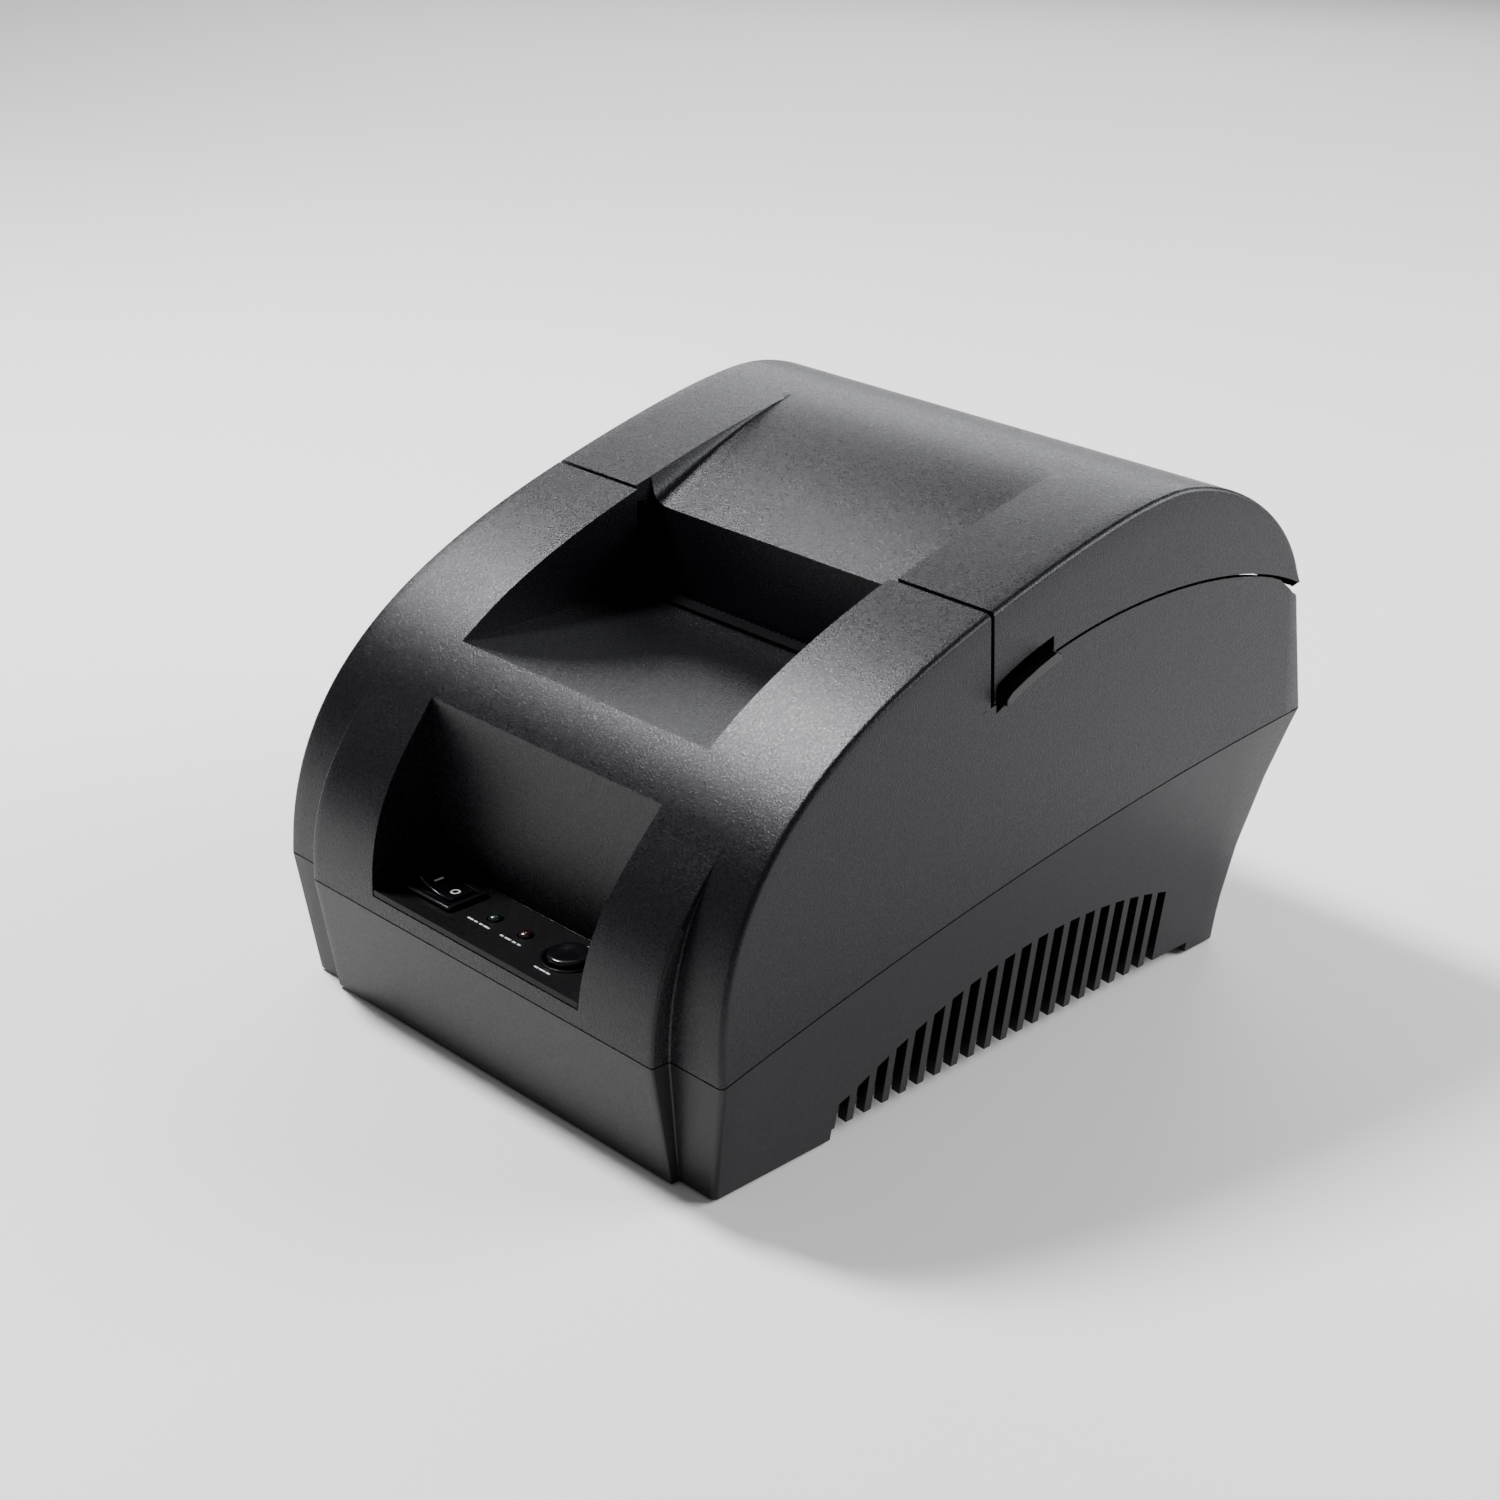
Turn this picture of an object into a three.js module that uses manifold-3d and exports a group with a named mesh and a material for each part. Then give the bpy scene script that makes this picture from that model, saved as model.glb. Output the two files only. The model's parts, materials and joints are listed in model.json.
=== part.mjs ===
// A desktop receipt printer for narrow paper rolls, with a drop-in paper bin under a hinged lid.
// Millimetres, +Z up. The front faces -Y, +X is the right side, and the origin is on the table
// under the middle of the body.
import * as THREE from "three";
import { ConvexGeometry } from "three/addons/geometries/ConvexGeometry.js";
import { mergeVertices } from "three/addons/utils/BufferGeometryUtils.js";
import Module from "manifold-3d";

const wasm = await Module();
wasm.setup();

// ---- Overall sizes ----
const caseLength = 180; // front bulge to the back end of the seam
const caseWidth = 137; // across the back end of the seam
const caseHeight = 113.2; // crown of the lid

// ---- Case ----
const wall = 2.2;
const gap = 0.3; // between pieces that touch
const flankSetback = 4.3; // the flanks stand this far behind the front bulge
const bulgeHalfWidth = 52.5;
const grooveTop = 67; // where the bulge runs into the flanks
const seamFront = 0.24205 * caseHeight; // height of the line between base and upper case
const seamBack = 0.48322 * caseHeight;
const noseHeight = seamFront + 2.6; // height of the foremost line of the front
const bottomHalfWidth = 62.1;
const sideLean = 0.0703; // inward per unit of height, above the seam
const sideFlare = 0.02135; // outward per unit of length, towards the back
const flankFootLean = 2.8; // the foot stands this far behind the seam at the front
const bulgeFootLean = 5.2;
const backFootSetback = 15.6; // foot to the back end of the seam
const floorHeight = 3; // underside of the floor
const skirtClearance = 0.5; // the skirt stands this far off the table
const frontSkirtLength = 34;
const backSkirtLength = 11.5;

// ---- Lid ----
const lidLength = 102.5; // lid front to back of case
const lidGap = 1; // in front of the lid
const edgeGap = 0.6; // under the lid's side edges
const crownSetback = 46; // crown to back of case
const crownRise = 12.2; // lid front to crown
const lipSetback = 4.4; // the middle of the lid front stands behind its flanks
const lipDrop = 4.6; // top of the lid front to the lip
const lipWallLean = 1.5;
const scoopHalfWidth = 38.2;
const scoopLength = 46.3;
const lidEdgeRise = 4.25; // chute floor up to the lower front corner of the lid side
const lidEdgeBack = 29.3;
const backTopDrop = 29.8; // crown down to the top of the back wall
const backTopSetback = 3.1;

// ---- Recesses in the front ----
const panelHeight = seamFront + 5.4;
const panelDepth = 18.6;
const windowTopHalfWidth = 35;
const windowBottomHalfWidth = 31.8;
const bridgeRise = 9; // window's top edge to the chute floor
const chuteHalfWidth = 36.7;

// ---- Side vents ----
const ventCount = 20;
const ventPitch = 5.16;
const ventWidth = 3.15;
const ventStart = 40.7; // first vent's middle behind the front
const ventCrown = 25.8; // top of the tallest vent
const ventCrownPlace = 105.2; // tallest vent behind the front
const ventArcRadius = 123;

// ---- Paper and print mechanism ----
const paperWidth = 57.5;
const rollRadius = 25;
const coreRadius = 8;
const coreBore = 6.5;
const rollSideClearance = 1.2;
const rollBinClearance = 2.5;
const rollHeadroom = 21.6; // roll's top to the inside of the lid
const rollSetback = 54; // roll's axis to the back of the case
const sheet = 2; // wall of the bin and the frames
const platenRadius = 5;
const shaftRadius = 1.5;
const paperSlot = 1;
const headGap = 0.5;
const armThickness = 3;
const gearWidth = 3.2;
const gearModule = 0.6;
const platenTeeth = 20;
const idlerTeeth = 26;
const pinionTeeth = 12;
const gearBacklash = 0.16; // added to each gear distance
const motorRadius = 10;
const motorLength = 18;

// ---- Hinge and levers ----
const hingeSetback = 7; // hinge axis to the back of the case
const hingeDrop = 37; // crown down to the hinge axis
const hingeRadius = 1.6;
const earInner = 46;
const earWidth = 5;
const tabLength = 15.9;
const tabThickness = 3.4;
const tabDrop = 0.8; // underside of the tab below the lid edge
const tabRoom = 1.6; // under the tab, for its travel
const tabReach = 2.6; // beyond the side wall
const leverPlace = 25.5; // lever pivot behind the lid front
const leverDrop = 1.5; // lower front corner of the lid down to the lever pivot
const leverArcRadius = 15;
const leverWidth = 6;

// ---- Control panel ----
const controlSetback = 10.4; // switch, lights and button behind the front
const rockerX = -20.9;
const rockerRestTilt = 9; // degrees
const ledX = [-5.3, 4.2];
const ledRadius = 1.5;
const buttonX = 17.3;
const buttonRadius = 4.5;
const buttonTravel = 1.2;

// ---- Places worked out from the sizes ----
const frontY = -caseLength / 2;
const backY = caseLength / 2;
const lidFrontY = backY - lidLength;
const point = (y, z) => new THREE.Vector2(y, z);
const nose = point(frontY + flankSetback, noseHeight);
const lidFront = point(lidFrontY, caseHeight - crownRise);
const crown = point(backY - crownSetback, caseHeight);
const backTop = point(backY - backTopSetback, caseHeight - backTopDrop);
const lip = point(lidFrontY + lipSetback, lidFront.y - lipDrop);
const hinge = point(backY - hingeSetback, caseHeight - hingeDrop);
const far = 2 * (caseLength + caseWidth + caseHeight);

// Curves in the (y, z) plane
const frontCurve = new THREE.CubicBezierCurve(
  nose,
  point(nose.x, nose.y + 0.585 * (lidFront.y - nose.y)),
  point(lidFront.x - 0.535 * (lidFront.x - nose.x), lidFront.y - 0.165 * (lidFront.x - nose.x)),
  lidFront,
);
const lidCurve = new THREE.CubicBezierCurve(
  lidFront,
  point(lidFront.x + 0.31 * (crown.x - lidFront.x), lidFront.y + 0.095 * (crown.x - lidFront.x)),
  point(crown.x - 0.25 * (crown.x - lidFront.x), crown.y),
  crown,
);
const backCurve = new THREE.CubicBezierCurve(
  crown,
  point(crown.x + 0.37 * (backTop.x - crown.x), crown.y),
  point(backTop.x - 0.055 * (backTop.x - crown.x), backTop.y + 0.63 * backTopDrop),
  backTop,
);
const seamCurve = new THREE.QuadraticBezierCurve(
  point(nose.x, seamFront),
  point(nose.x + 0.52 * caseLength, seamFront + 0.83 * (seamBack - seamFront)),
  point(backY, seamBack),
);
const footBack = point(backY - backFootSetback, skirtClearance);
const baseBackCurve = new THREE.CubicBezierCurve(
  point(backY, seamBack),
  point(backY - 0.72 * backFootSetback, 0.66 * seamBack),
  point(footBack.x - 0.06 * backFootSetback, 0.33 * seamBack),
  footBack,
);
const panelBackY = frontY + panelDepth;
const windowTop = heightAt(frontCurve, panelBackY);
const chuteFloor = windowTop + bridgeRise;
const lidCorner = point(lidFrontY, chuteFloor + lidEdgeRise);
const lidEdgeCurve = new THREE.CubicBezierCurve(
  lidCorner,
  point(lidCorner.x + 24.5, lidCorner.y + 12.8),
  point(backY - 28, caseHeight - lidEdgeBack + 13.1),
  point(backTop.x, caseHeight - lidEdgeBack),
);
const scoopCurve = new THREE.CubicBezierCurve(
  lip,
  point(lip.x + 0.35 * scoopLength, lip.y + 7.5),
  point(lip.x + 0.7 * scoopLength, crown.y - 1.4),
  point(lip.x + scoopLength, heightAt(lidCurve, lip.x + scoopLength)),
);

// Height of a curve at a given y, by halving; y grows along the curve.
function heightAt(curve, y) {
  let low = 0;
  let high = 1;
  for (let i = 0; i < 40; i++) {
    const middle = (low + high) / 2;
    if (curve.getPoint(middle).x < y) low = middle;
    else high = middle;
  }
  return curve.getPoint(low).y;
}

// Place of a curve at a given height, by halving; z grows along the curve.
function placeAt(curve, z) {
  let low = 0;
  let high = 1;
  for (let i = 0; i < 40; i++) {
    const middle = (low + high) / 2;
    if (curve.getPoint(middle).y < z) low = middle;
    else high = middle;
  }
  return curve.getPoint(low);
}

// Points moved to the right of their direction of travel by a distance.
function offset(points, distance) {
  return points.map((p, i) => {
    const before = points[Math.max(i - 1, 0)];
    const after = points[Math.min(i + 1, points.length - 1)];
    const along = after.clone().sub(before).normalize();
    return point(p.x + along.y * distance, p.y - along.x * distance);
  });
}

const shift = (points, dy, dz) => points.map((p) => point(p.x + dy, p.y + dz));

function arc(cy, cz, radius, from, to, steps) {
  return Array.from({ length: steps + 1 }, (_, i) => {
    const angle = THREE.MathUtils.degToRad(from + ((to - from) * i) / steps);
    return point(cy + radius * Math.cos(angle), cz + radius * Math.sin(angle));
  });
}

// Half width of the outside above the seam.
const upperHalfWidth = (y, z) => caseWidth / 2 - sideLean * (z - seamBack) + sideFlare * (y - backY);

// ---- Solids ----
function solid(geometry) {
  geometry.deleteAttribute("normal");
  geometry.deleteAttribute("uv");
  const merged = mergeVertices(geometry, 1e-4);
  return new wasm.Manifold(
    new wasm.Mesh({
      numProp: 3,
      vertProperties: merged.attributes.position.array,
      triVerts: new Uint32Array(merged.index.array),
    }),
  );
}

function extruded(points, depth) {
  const shape = new THREE.Shape(points);
  return new THREE.ExtrudeGeometry(shape, { depth, bevelEnabled: false });
}

// A (y, z) outline carried from x0 to x1.
function prismX(points, x0, x1) {
  const turn = new THREE.Matrix4().set(0, 0, 1, x0, 1, 0, 0, 0, 0, 1, 0, 0, 0, 0, 0, 1);
  return solid(extruded(points, x1 - x0).applyMatrix4(turn));
}

// An (x, z) outline carried from y0 to y1.
function prismY(points, y0, y1) {
  const turn = new THREE.Matrix4().set(1, 0, 0, 0, 0, 0, -1, y1, 0, 1, 0, 0, 0, 0, 0, 1);
  return solid(extruded(points, y1 - y0).applyMatrix4(turn));
}

// An (x, y) outline carried from z0 to z1.
const prismZ = (points, z0, z1) => solid(extruded(points, z1 - z0).translate(0, 0, z0));

function box(x0, x1, y0, y1, z0, z1) {
  const geometry = new THREE.BoxGeometry(x1 - x0, y1 - y0, z1 - z0);
  return solid(geometry.translate((x0 + x1) / 2, (y0 + y1) / 2, (z0 + z1) / 2));
}

function rodX(radius, x0, x1, y, z, segments = 24) {
  const geometry = new THREE.CylinderGeometry(radius, radius, x1 - x0, segments);
  return solid(geometry.rotateZ(Math.PI / 2).translate((x0 + x1) / 2, y, z));
}

function rodY(radius, y0, y1, x, z, segments = 20) {
  const geometry = new THREE.CylinderGeometry(radius, radius, y1 - y0, segments);
  return solid(geometry.translate(x, (y0 + y1) / 2, z));
}

function rodZ(radius, z0, z1, x, y, segments = 24) {
  const geometry = new THREE.CylinderGeometry(radius, radius, z1 - z0, segments);
  return solid(geometry.rotateX(Math.PI / 2).translate(x, y, (z0 + z1) / 2));
}

const joined = (solids) => solids.reduce((sum, next) => sum.add(next));
const cutFrom = (body, cutters) => cutters.reduce((sum, next) => sum.subtract(next), body);

// The four-sided rings run from front to back, each anticlockwise seen from the front.
function loft(rings) {
  const positions = rings.flat(2);
  const index = [0, 1, 2, 0, 2, 3];
  for (let i = 0; i + 1 < rings.length; i++) {
    for (let a = 0; a < 4; a++) {
      const b = (a + 1) % 4;
      const near = 4 * i;
      const next = near + 4;
      index.push(near + a, next + a, next + b, near + a, next + b, near + b);
    }
  }
  const last = 4 * (rings.length - 1);
  index.push(last, last + 2, last + 1, last, last + 3, last + 2);
  const geometry = new THREE.BufferGeometry();
  geometry.setAttribute("position", new THREE.Float32BufferAttribute(positions, 3));
  geometry.setIndex(index);
  return solid(geometry);
}

// Space between the leaning side walls above the seam, each face moved in by inset.
function upperSides(inset) {
  const corners = [];
  for (const y of [frontY - 20, backY + 20]) {
    for (const z of [-20, caseHeight + 20]) {
      for (const side of [-1, 1]) {
        corners.push(new THREE.Vector3(side * (upperHalfWidth(y, z) - inset), y, z));
      }
    }
  }
  return solid(new ConvexGeometry(corners));
}

// Space between the side walls under the seam, which lean in to the foot.
function baseSides(inset) {
  const stations = 8;
  const rings = [];
  for (let i = 0; i <= stations; i++) {
    const onSeam = seamCurve.getPoint(i / stations);
    const reach = i === 0 ? -12 : i === stations ? 12 : 0;
    const y = onSeam.x + reach;
    const seamHalf = upperHalfWidth(onSeam.x, onSeam.y);
    const slope = (seamHalf - bottomHalfWidth) / onSeam.y;
    const low = bottomHalfWidth - 6 * slope - inset;
    const high = seamHalf + 6 * slope - inset;
    const top = onSeam.y + 6;
    rings.push([
      [-low, y, -6],
      [low, y, -6],
      [high, y, top],
      [-high, y, top],
    ]);
  }
  return loft(rings);
}

// ---- Materials and the group ----
function finish(color, roughness, metalness = 0) {
  return new THREE.MeshStandardMaterial({ color, roughness, metalness, flatShading: true });
}

const texturedBlack = finish(0x2b2b2e, 0.55);
const innerBlack = finish(0x1b1b1d, 0.5);
const glossBlack = finish(0x0e0e10, 0.2);
const rubberBlack = finish(0x151515, 0.85);
const steel = finish(0xb4b6ba, 0.3, 1);
const darkSteel = finish(0x3c3d40, 0.4, 1);
const aluminium = finish(0xc6c8cc, 0.4, 1);
const nylon = finish(0xe6e3da, 0.5);
const boardGreen = finish(0x1f5b3a, 0.5);
const paperWhite = finish(0xf3f2ee, 0.9);
const cardBrown = finish(0xb89b72, 0.9);
const labelSilver = finish(0xb9bcc0, 0.45, 0.4);

const printer = new THREE.Group();

function add(name, body, material, parent = printer) {
  const data = body.getMesh();
  const geometry = new THREE.BufferGeometry();
  geometry.setAttribute("position", new THREE.BufferAttribute(data.vertProperties, 3));
  geometry.setIndex(new THREE.BufferAttribute(data.triVerts, 1));
  const mesh = new THREE.Mesh(geometry, material);
  mesh.name = name;
  parent.add(mesh);
  return mesh;
}

// ---- Outline of the case ----
const grooveTopPoint = placeAt(frontCurve, Math.min(grooveTop, lidFront.y - 30));
const topPoints = [
  ...frontCurve.getPoints(16),
  ...lidCurve.getPoints(7).slice(1),
  ...backCurve.getPoints(9).slice(1),
];
const upperLine = topPoints.filter((p) => p.y > grooveTopPoint.y);
const bulgeCurve = new THREE.CubicBezierCurve(
  point(frontY, noseHeight),
  point(frontY, noseHeight + 0.5 * (grooveTopPoint.y - noseHeight)),
  point(grooveTopPoint.x - 8.4, grooveTopPoint.y - 10),
  grooveTopPoint,
);
const seamPoints = seamCurve.getPoints(12);

// From the seam's front end over the top and down the back; drop lowers the seam side.
function upperOutline(drop) {
  const low = shift(seamPoints, 0, -drop).reverse();
  return [...topPoints, ...low];
}

// The front bulge above the seam, clear of the seam by a distance.
function bulgeOutline(clear) {
  const low = shift(seamPoints.slice(0, 3), 0, clear).reverse();
  return [point(frontY, seamFront + clear), ...bulgeCurve.getPoints(8), ...upperLine.slice(0, 3), ...low];
}

function innerOutline(inset) {
  const inner = offset(topPoints, inset);
  const end = inner[inner.length - 1];
  const slope = (backY - backTop.x) / (backTop.y - seamBack);
  const reach = end.y + 20;
  return [point(inner[0].x, -20), ...inner, point(end.x + slope * reach, end.y - reach)];
}

const sideEdge = lidEdgeCurve.getPoints(14);
const backRelief = 0.9; // the gap under the lid opens towards the back

// The space that belongs to the lid, lowered by below and started further forward by ahead.
function lidSpace(below, ahead) {
  const edge = sideEdge.map((p, i) => {
    const extra = below > 0 ? backRelief * Math.max(0, (i - 10) / 4) : 0;
    return point(p.x, p.y - below - extra);
  });
  const end = edge[edge.length - 1];
  edge[0] = point(edge[0].x - ahead, edge[0].y);
  return [
    point(lidFrontY - ahead, far),
    ...edge,
    point(backTop.x + 1, end.y - 0.6),
    point(far, end.y - 0.6),
    point(far, far),
  ];
}

// ---- Recesses ----
const chuteBackY = lip.x - lipWallLean - paperSlot;
const panelPlate = 1.2;
const controlY = frontY + controlSetback;

function windowSpace(grow, floor) {
  const top = windowTopHalfWidth + grow;
  const low = windowBottomHalfWidth + grow;
  const outline = [point(-low, floor), point(low, floor), point(top, windowTop + 6), point(-top, windowTop + 6)];
  return prismY(outline, frontY - 10, panelBackY + grow);
}

function chuteSpace(grow) {
  const half = chuteHalfWidth + grow;
  return box(-half, half, frontY - 10, lidFrontY - lidGap, chuteFloor - grow, far);
}

// ---- Screws that hold the two halves together ----
const screwPlaces = [];
for (const x of [-1, 1]) {
  for (const y of [frontY + 19, backY - 32]) screwPlaces.push([x * (bottomHalfWidth - 8), y]);
}
const screwNames = ["case_screw_fl", "case_screw_bl", "case_screw_fr", "case_screw_br"];
const screwWellTop = 20;

// ---- Upper case ----
function upperCase() {
  const sides = upperSides(0);
  const outer = prismX(upperOutline(-gap), -far, far)
    .add(prismX(bulgeOutline(gap), -bulgeHalfWidth, bulgeHalfWidth))
    .intersect(sides);
  const hollow = prismX(innerOutline(wall), -far, far).intersect(upperSides(wall));
  const rooted = prismX(innerOutline(wall / 2), -far, far).intersect(upperSides(wall / 2));
  const liners = windowSpace(wall, panelHeight - panelPlate - gap - wall).add(chuteSpace(wall));
  const bulkhead = box(-far, far, lidFrontY - lidGap - wall, lidFrontY - lidGap, chuteFloor - wall, far);
  const inside = liners.add(bulkhead).intersect(rooted);
  const lidClear = prismX(lidSpace(edgeGap, lidGap), -far, far);
  let body = outer.subtract(hollow).add(inside).subtract(lidClear);
  body = cutFrom(body, [windowSpace(0, panelHeight - panelPlate - gap), chuteSpace(0)]);
  body = body.add(paperSill());
  body = joined([body, ...screwBosses(), ...hingeBosses()]);
  return cutFrom(body, [...panelHoles(), ...earSlots(), ...screwBores(), hingeBore(), ...tabRelief()]);
}

// Chute floor carried back under the lid to the paper slot, with a notch for the platen gear.
function paperSill() {
  const half = chuteHalfWidth;
  const front = lidFrontY - lidGap - wall;
  const sill = box(-half, half, front, chuteBackY, chuteFloor - wall, chuteFloor);
  const notch = box(armOuter - armThickness - gap, far, chuteBackY - 1.8, far, 0, far);
  return cutFrom(sill, [notch, box(-far, -armOuter + armThickness + gap, chuteBackY - 1.8, far, 0, far)]);
}

function screwBosses() {
  return screwPlaces.map(([x, y]) => {
    const top = heightAt(seamCurve, y) + 10;
    const post = rodZ(3.4, screwWellTop + gap, top, x, y, 16);
    const span = x < 0 ? [-far, x] : [x, far];
    const web = box(span[0], span[1], y - 1.2, y + 1.2, top - 8, top);
    return post.add(web).intersect(upperSides(wall / 2));
  });
}

const screwBores = () => screwPlaces.map(([x, y]) => rodZ(1.5, 0, 36, x, y, 12));

const hingeBossInner = earInner + earWidth + 0.8;
const hingeBossOuter = hingeBossInner + 4;

function hingeBosses() {
  return [-1, 1].map((side) => {
    const outline = [
      ...arc(hinge.x, hinge.y, 2.7, 110, 250, 8),
      point(backTop.x - wall / 2, hinge.y - 4),
      point(backTop.x - wall / 2, hinge.y + 2.5),
    ];
    const x = [side * hingeBossInner, side * hingeBossOuter].sort((a, b) => a - b);
    return prismX(outline, x[0], x[1]);
  });
}

const hingeBore = () => rodX(hingeRadius + gap, -hingeBossOuter - 0.5, hingeBossOuter + 0.5, hinge.x, hinge.y);

function earSlots() {
  return [-1, 1].map((side) => {
    const x = [side * (earInner - 0.7), side * (earInner + earWidth + 0.7)].sort((a, b) => a - b);
    return box(x[0], x[1], hinge.x - 1, far, hinge.y - 3.6, far);
  });
}

// ---- Release levers: outlines shared with the notches round them ----
const lever = point(lidFrontY + leverPlace, lidCorner.y - leverDrop);
const tabFront = lidFrontY + 1.2;
const tabPoints = Array.from({ length: 5 }, (_, i) => {
  const y = tabFront + (tabLength * i) / 4;
  return point(y, heightAt(lidEdgeCurve, y) - tabDrop);
});

function tabOutline(below, above, ends) {
  const low = shift(tabPoints, 0, -below);
  const high = shift(tabPoints, 0, tabThickness + above);
  low[0].x -= ends;
  high[0].x -= ends;
  low[4].x += ends;
  high[4].x += ends;
  return [...low, ...high.reverse()];
}

function tabRelief() {
  const outline = tabOutline(tabRoom, 5, 0.6);
  return [prismX(outline, 40, far), prismX(outline, -far, -40)];
}

// ---- Base ----
function baseOutline(inset, low, lift) {
  const front = nose.x + inset;
  const lean = flankFootLean;
  const back = baseBackCurve.getPoints(8).map((p) => point(p.x - inset * 1.1, p.y));
  const seam = seamPoints.map((p) => point(THREE.MathUtils.clamp(p.x, front, backY - inset * 1.1), p.y + lift));
  return [point(front + lean, low), ...seam, ...back.slice(1, -1), point(back[back.length - 1].x, low)];
}

const baseSpace = (inset, low, lift) =>
  prismX(baseOutline(inset, low, lift), -far, far).intersect(baseSides(inset));

// The front bulge under the seam, each face moved in by inset.
function baseBulge(inset, low, lift) {
  const outline = [
    point(frontY + bulgeFootLean + inset, low),
    point(frontY + inset, seamFront + lift),
    point(nose.x + 15, seamFront + lift),
    point(nose.x + 15, low),
  ];
  return prismX(outline, inset - bulgeHalfWidth, bulgeHalfWidth - inset);
}

function baseCase() {
  const outer = baseSpace(0, skirtClearance, 0).add(baseBulge(0, skirtClearance, 0));
  const floorTop = floorHeight + wall;
  const inner = baseSpace(wall, -20, 1).add(baseBulge(wall, -20, 1));
  const above = inner.intersect(box(-far, far, -far, far, floorTop, far));
  const skirtFront = frontY + flankSetback + frontSkirtLength;
  const skirtBack = footBack.x - backSkirtLength;
  const under = inner.intersect(box(-far, far, -far, far, -far, floorHeight));
  const openFeet = box(-far, far, skirtFront, skirtBack, -far, floorHeight);
  const body = cutFrom(outer, [above, under, openFeet]);
  const full = joined([body, ...boardPosts(), ...screwWells()]);
  return cutFrom(full, [...vents(), ...socketCuts(), ...wellBores()]);
}

function vents() {
  const slots = [];
  for (let i = 0; i < ventCount; i++) {
    const middle = frontY + ventStart + i * ventPitch;
    const top = (y) => {
      const across = y - (frontY + ventCrownPlace);
      return ventCrown - (across * across) / (2 * ventArcRadius);
    };
    const low = middle - ventWidth / 2;
    const high = middle + ventWidth / 2;
    const outline = [point(low, -1), point(high, -1), point(high, top(high)), point(low, top(low))];
    const inner = bottomHalfWidth - wall - 1;
    slots.push(prismX(outline, inner, far), prismX(outline, -far, -inner));
  }
  return slots;
}

const boardTop = 11.6;
const boardThickness = 1.6;
const boardHalf = 44;
const boardFront = frontY + 52;
const boardBack = backY - 33;
const boardCorners = [-1, 1].flatMap((x) =>
  [boardFront + 5, boardBack - 5].map((y) => [x * (boardHalf - 5), y]),
);

function boardPosts() {
  const top = boardTop - boardThickness - gap;
  return boardCorners.map(([x, y]) => rodZ(3, floorHeight + 1, top, x, y, 12));
}

const screwWells = () => screwPlaces.map(([x, y]) => rodZ(4.6, floorHeight, screwWellTop, x, y, 20));

function wellBores() {
  return screwPlaces.flatMap(([x, y]) => [
    rodZ(3.2, -1, screwWellTop - wall, x, y, 20),
    rodZ(1.6, 0, screwWellTop + 1, x, y, 12),
  ]);
}

// ---- Sockets in the back of the base ----
const sockets = [
  { name: "power_inlet", x: -36, width: 11, height: 12 },
  { name: "usb_socket", x: -14, width: 12, height: 11 },
  { name: "drawer_socket", x: 12, width: 13.4, height: 12.4 },
];
const socketFrontY = backY - backFootSetback + 0.9;
const socketDepth = 15;

function socketCuts() {
  return sockets.map(({ x, width, height }) => {
    const clear = 0.5;
    const low = boardTop;
    return box(x - width / 2 - clear, x + width / 2 + clear, backY - 30, far, low, low + height + 2 * clear);
  });
}

function socketShell({ x, width, height }) {
  const low = boardTop + gap;
  const back = socketFrontY;
  return box(x - width / 2, x + width / 2, back - socketDepth, back, low, low + height);
}

function addSockets() {
  const [power, usb, drawer] = sockets;
  const middle = (socket) => boardTop + gap + socket.height / 2;
  const jack = rodY(3.2, socketFrontY - 10, socketFrontY + 1, power.x, middle(power));
  const pin = rodY(1, socketFrontY - 11, socketFrontY - 1.5, power.x, middle(power), 12);
  add("power_inlet", socketShell(power).subtract(jack).add(pin), glossBlack);
  const usbHollow = box(usb.x - 4.2, usb.x + 4.2, socketFrontY - 9, far, middle(usb) - 3.9, middle(usb) + 3.9);
  add("usb_socket", socketShell(usb).subtract(usbHollow), steel);
  const plugHollow = box(drawer.x - 5, drawer.x + 5, socketFrontY - 11, far, middle(drawer) - 4, middle(drawer) + 4);
  add("drawer_socket", socketShell(drawer).subtract(plugHollow), innerBlack);
}

// ---- Boards ----
function addBoards() {
  const plate = box(-boardHalf, boardHalf, boardFront, boardBack, boardTop - boardThickness, boardTop);
  const chip = box(-8, 8, -6, 10, boardTop - 0.2, boardTop + 2);
  const driver = box(20, 30, 2, 10, boardTop - 0.2, boardTop + 2);
  const connector = box(-34, -22, boardFront + 8, boardFront + 14, boardTop - 0.2, boardTop + 6);
  add("main_board", joined([plate, chip, driver, connector]), boardGreen);
  const top = panelHeight - 9.4;
  const small = box(ledX[0] - 4, buttonX + 8, controlY - 6, controlY + 6, top - boardThickness, top);
  add("control_board", small, boardGreen);
  const switchBody = box(buttonX - 3, buttonX + 3, controlY - 3, controlY + 3, top + gap, top + gap + 3.4);
  const plunger = rodZ(1.7, top + gap + 3, top + gap + 4.1, buttonX, controlY, 16);
  add("feed_switch", switchBody.add(plunger), steel);
  const ledNames = ["power_led", "error_led"];
  ledX.forEach((x, i) => {
    const stem = rodZ(ledRadius, top + gap, panelHeight + 0.1, 0, 0, 16);
    const dome = new THREE.SphereGeometry(ledRadius, 16, 8).scale(1, 1, 0.5);
    const lens = stem.add(solid(dome.translate(0, 0, panelHeight + 0.1)));
    add(ledNames[i], lens, finish(i === 0 ? 0x2f7d3c : 0x7d2f2f, 0.2)).position.set(x, controlY, 0);
  });
}

// ---- Control panel ----
const rockerHousing = { halfLength: 6.9, halfWidth: 4.6, flangeHalfLength: 7.6, flangeHalfWidth: 5.4 };

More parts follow.
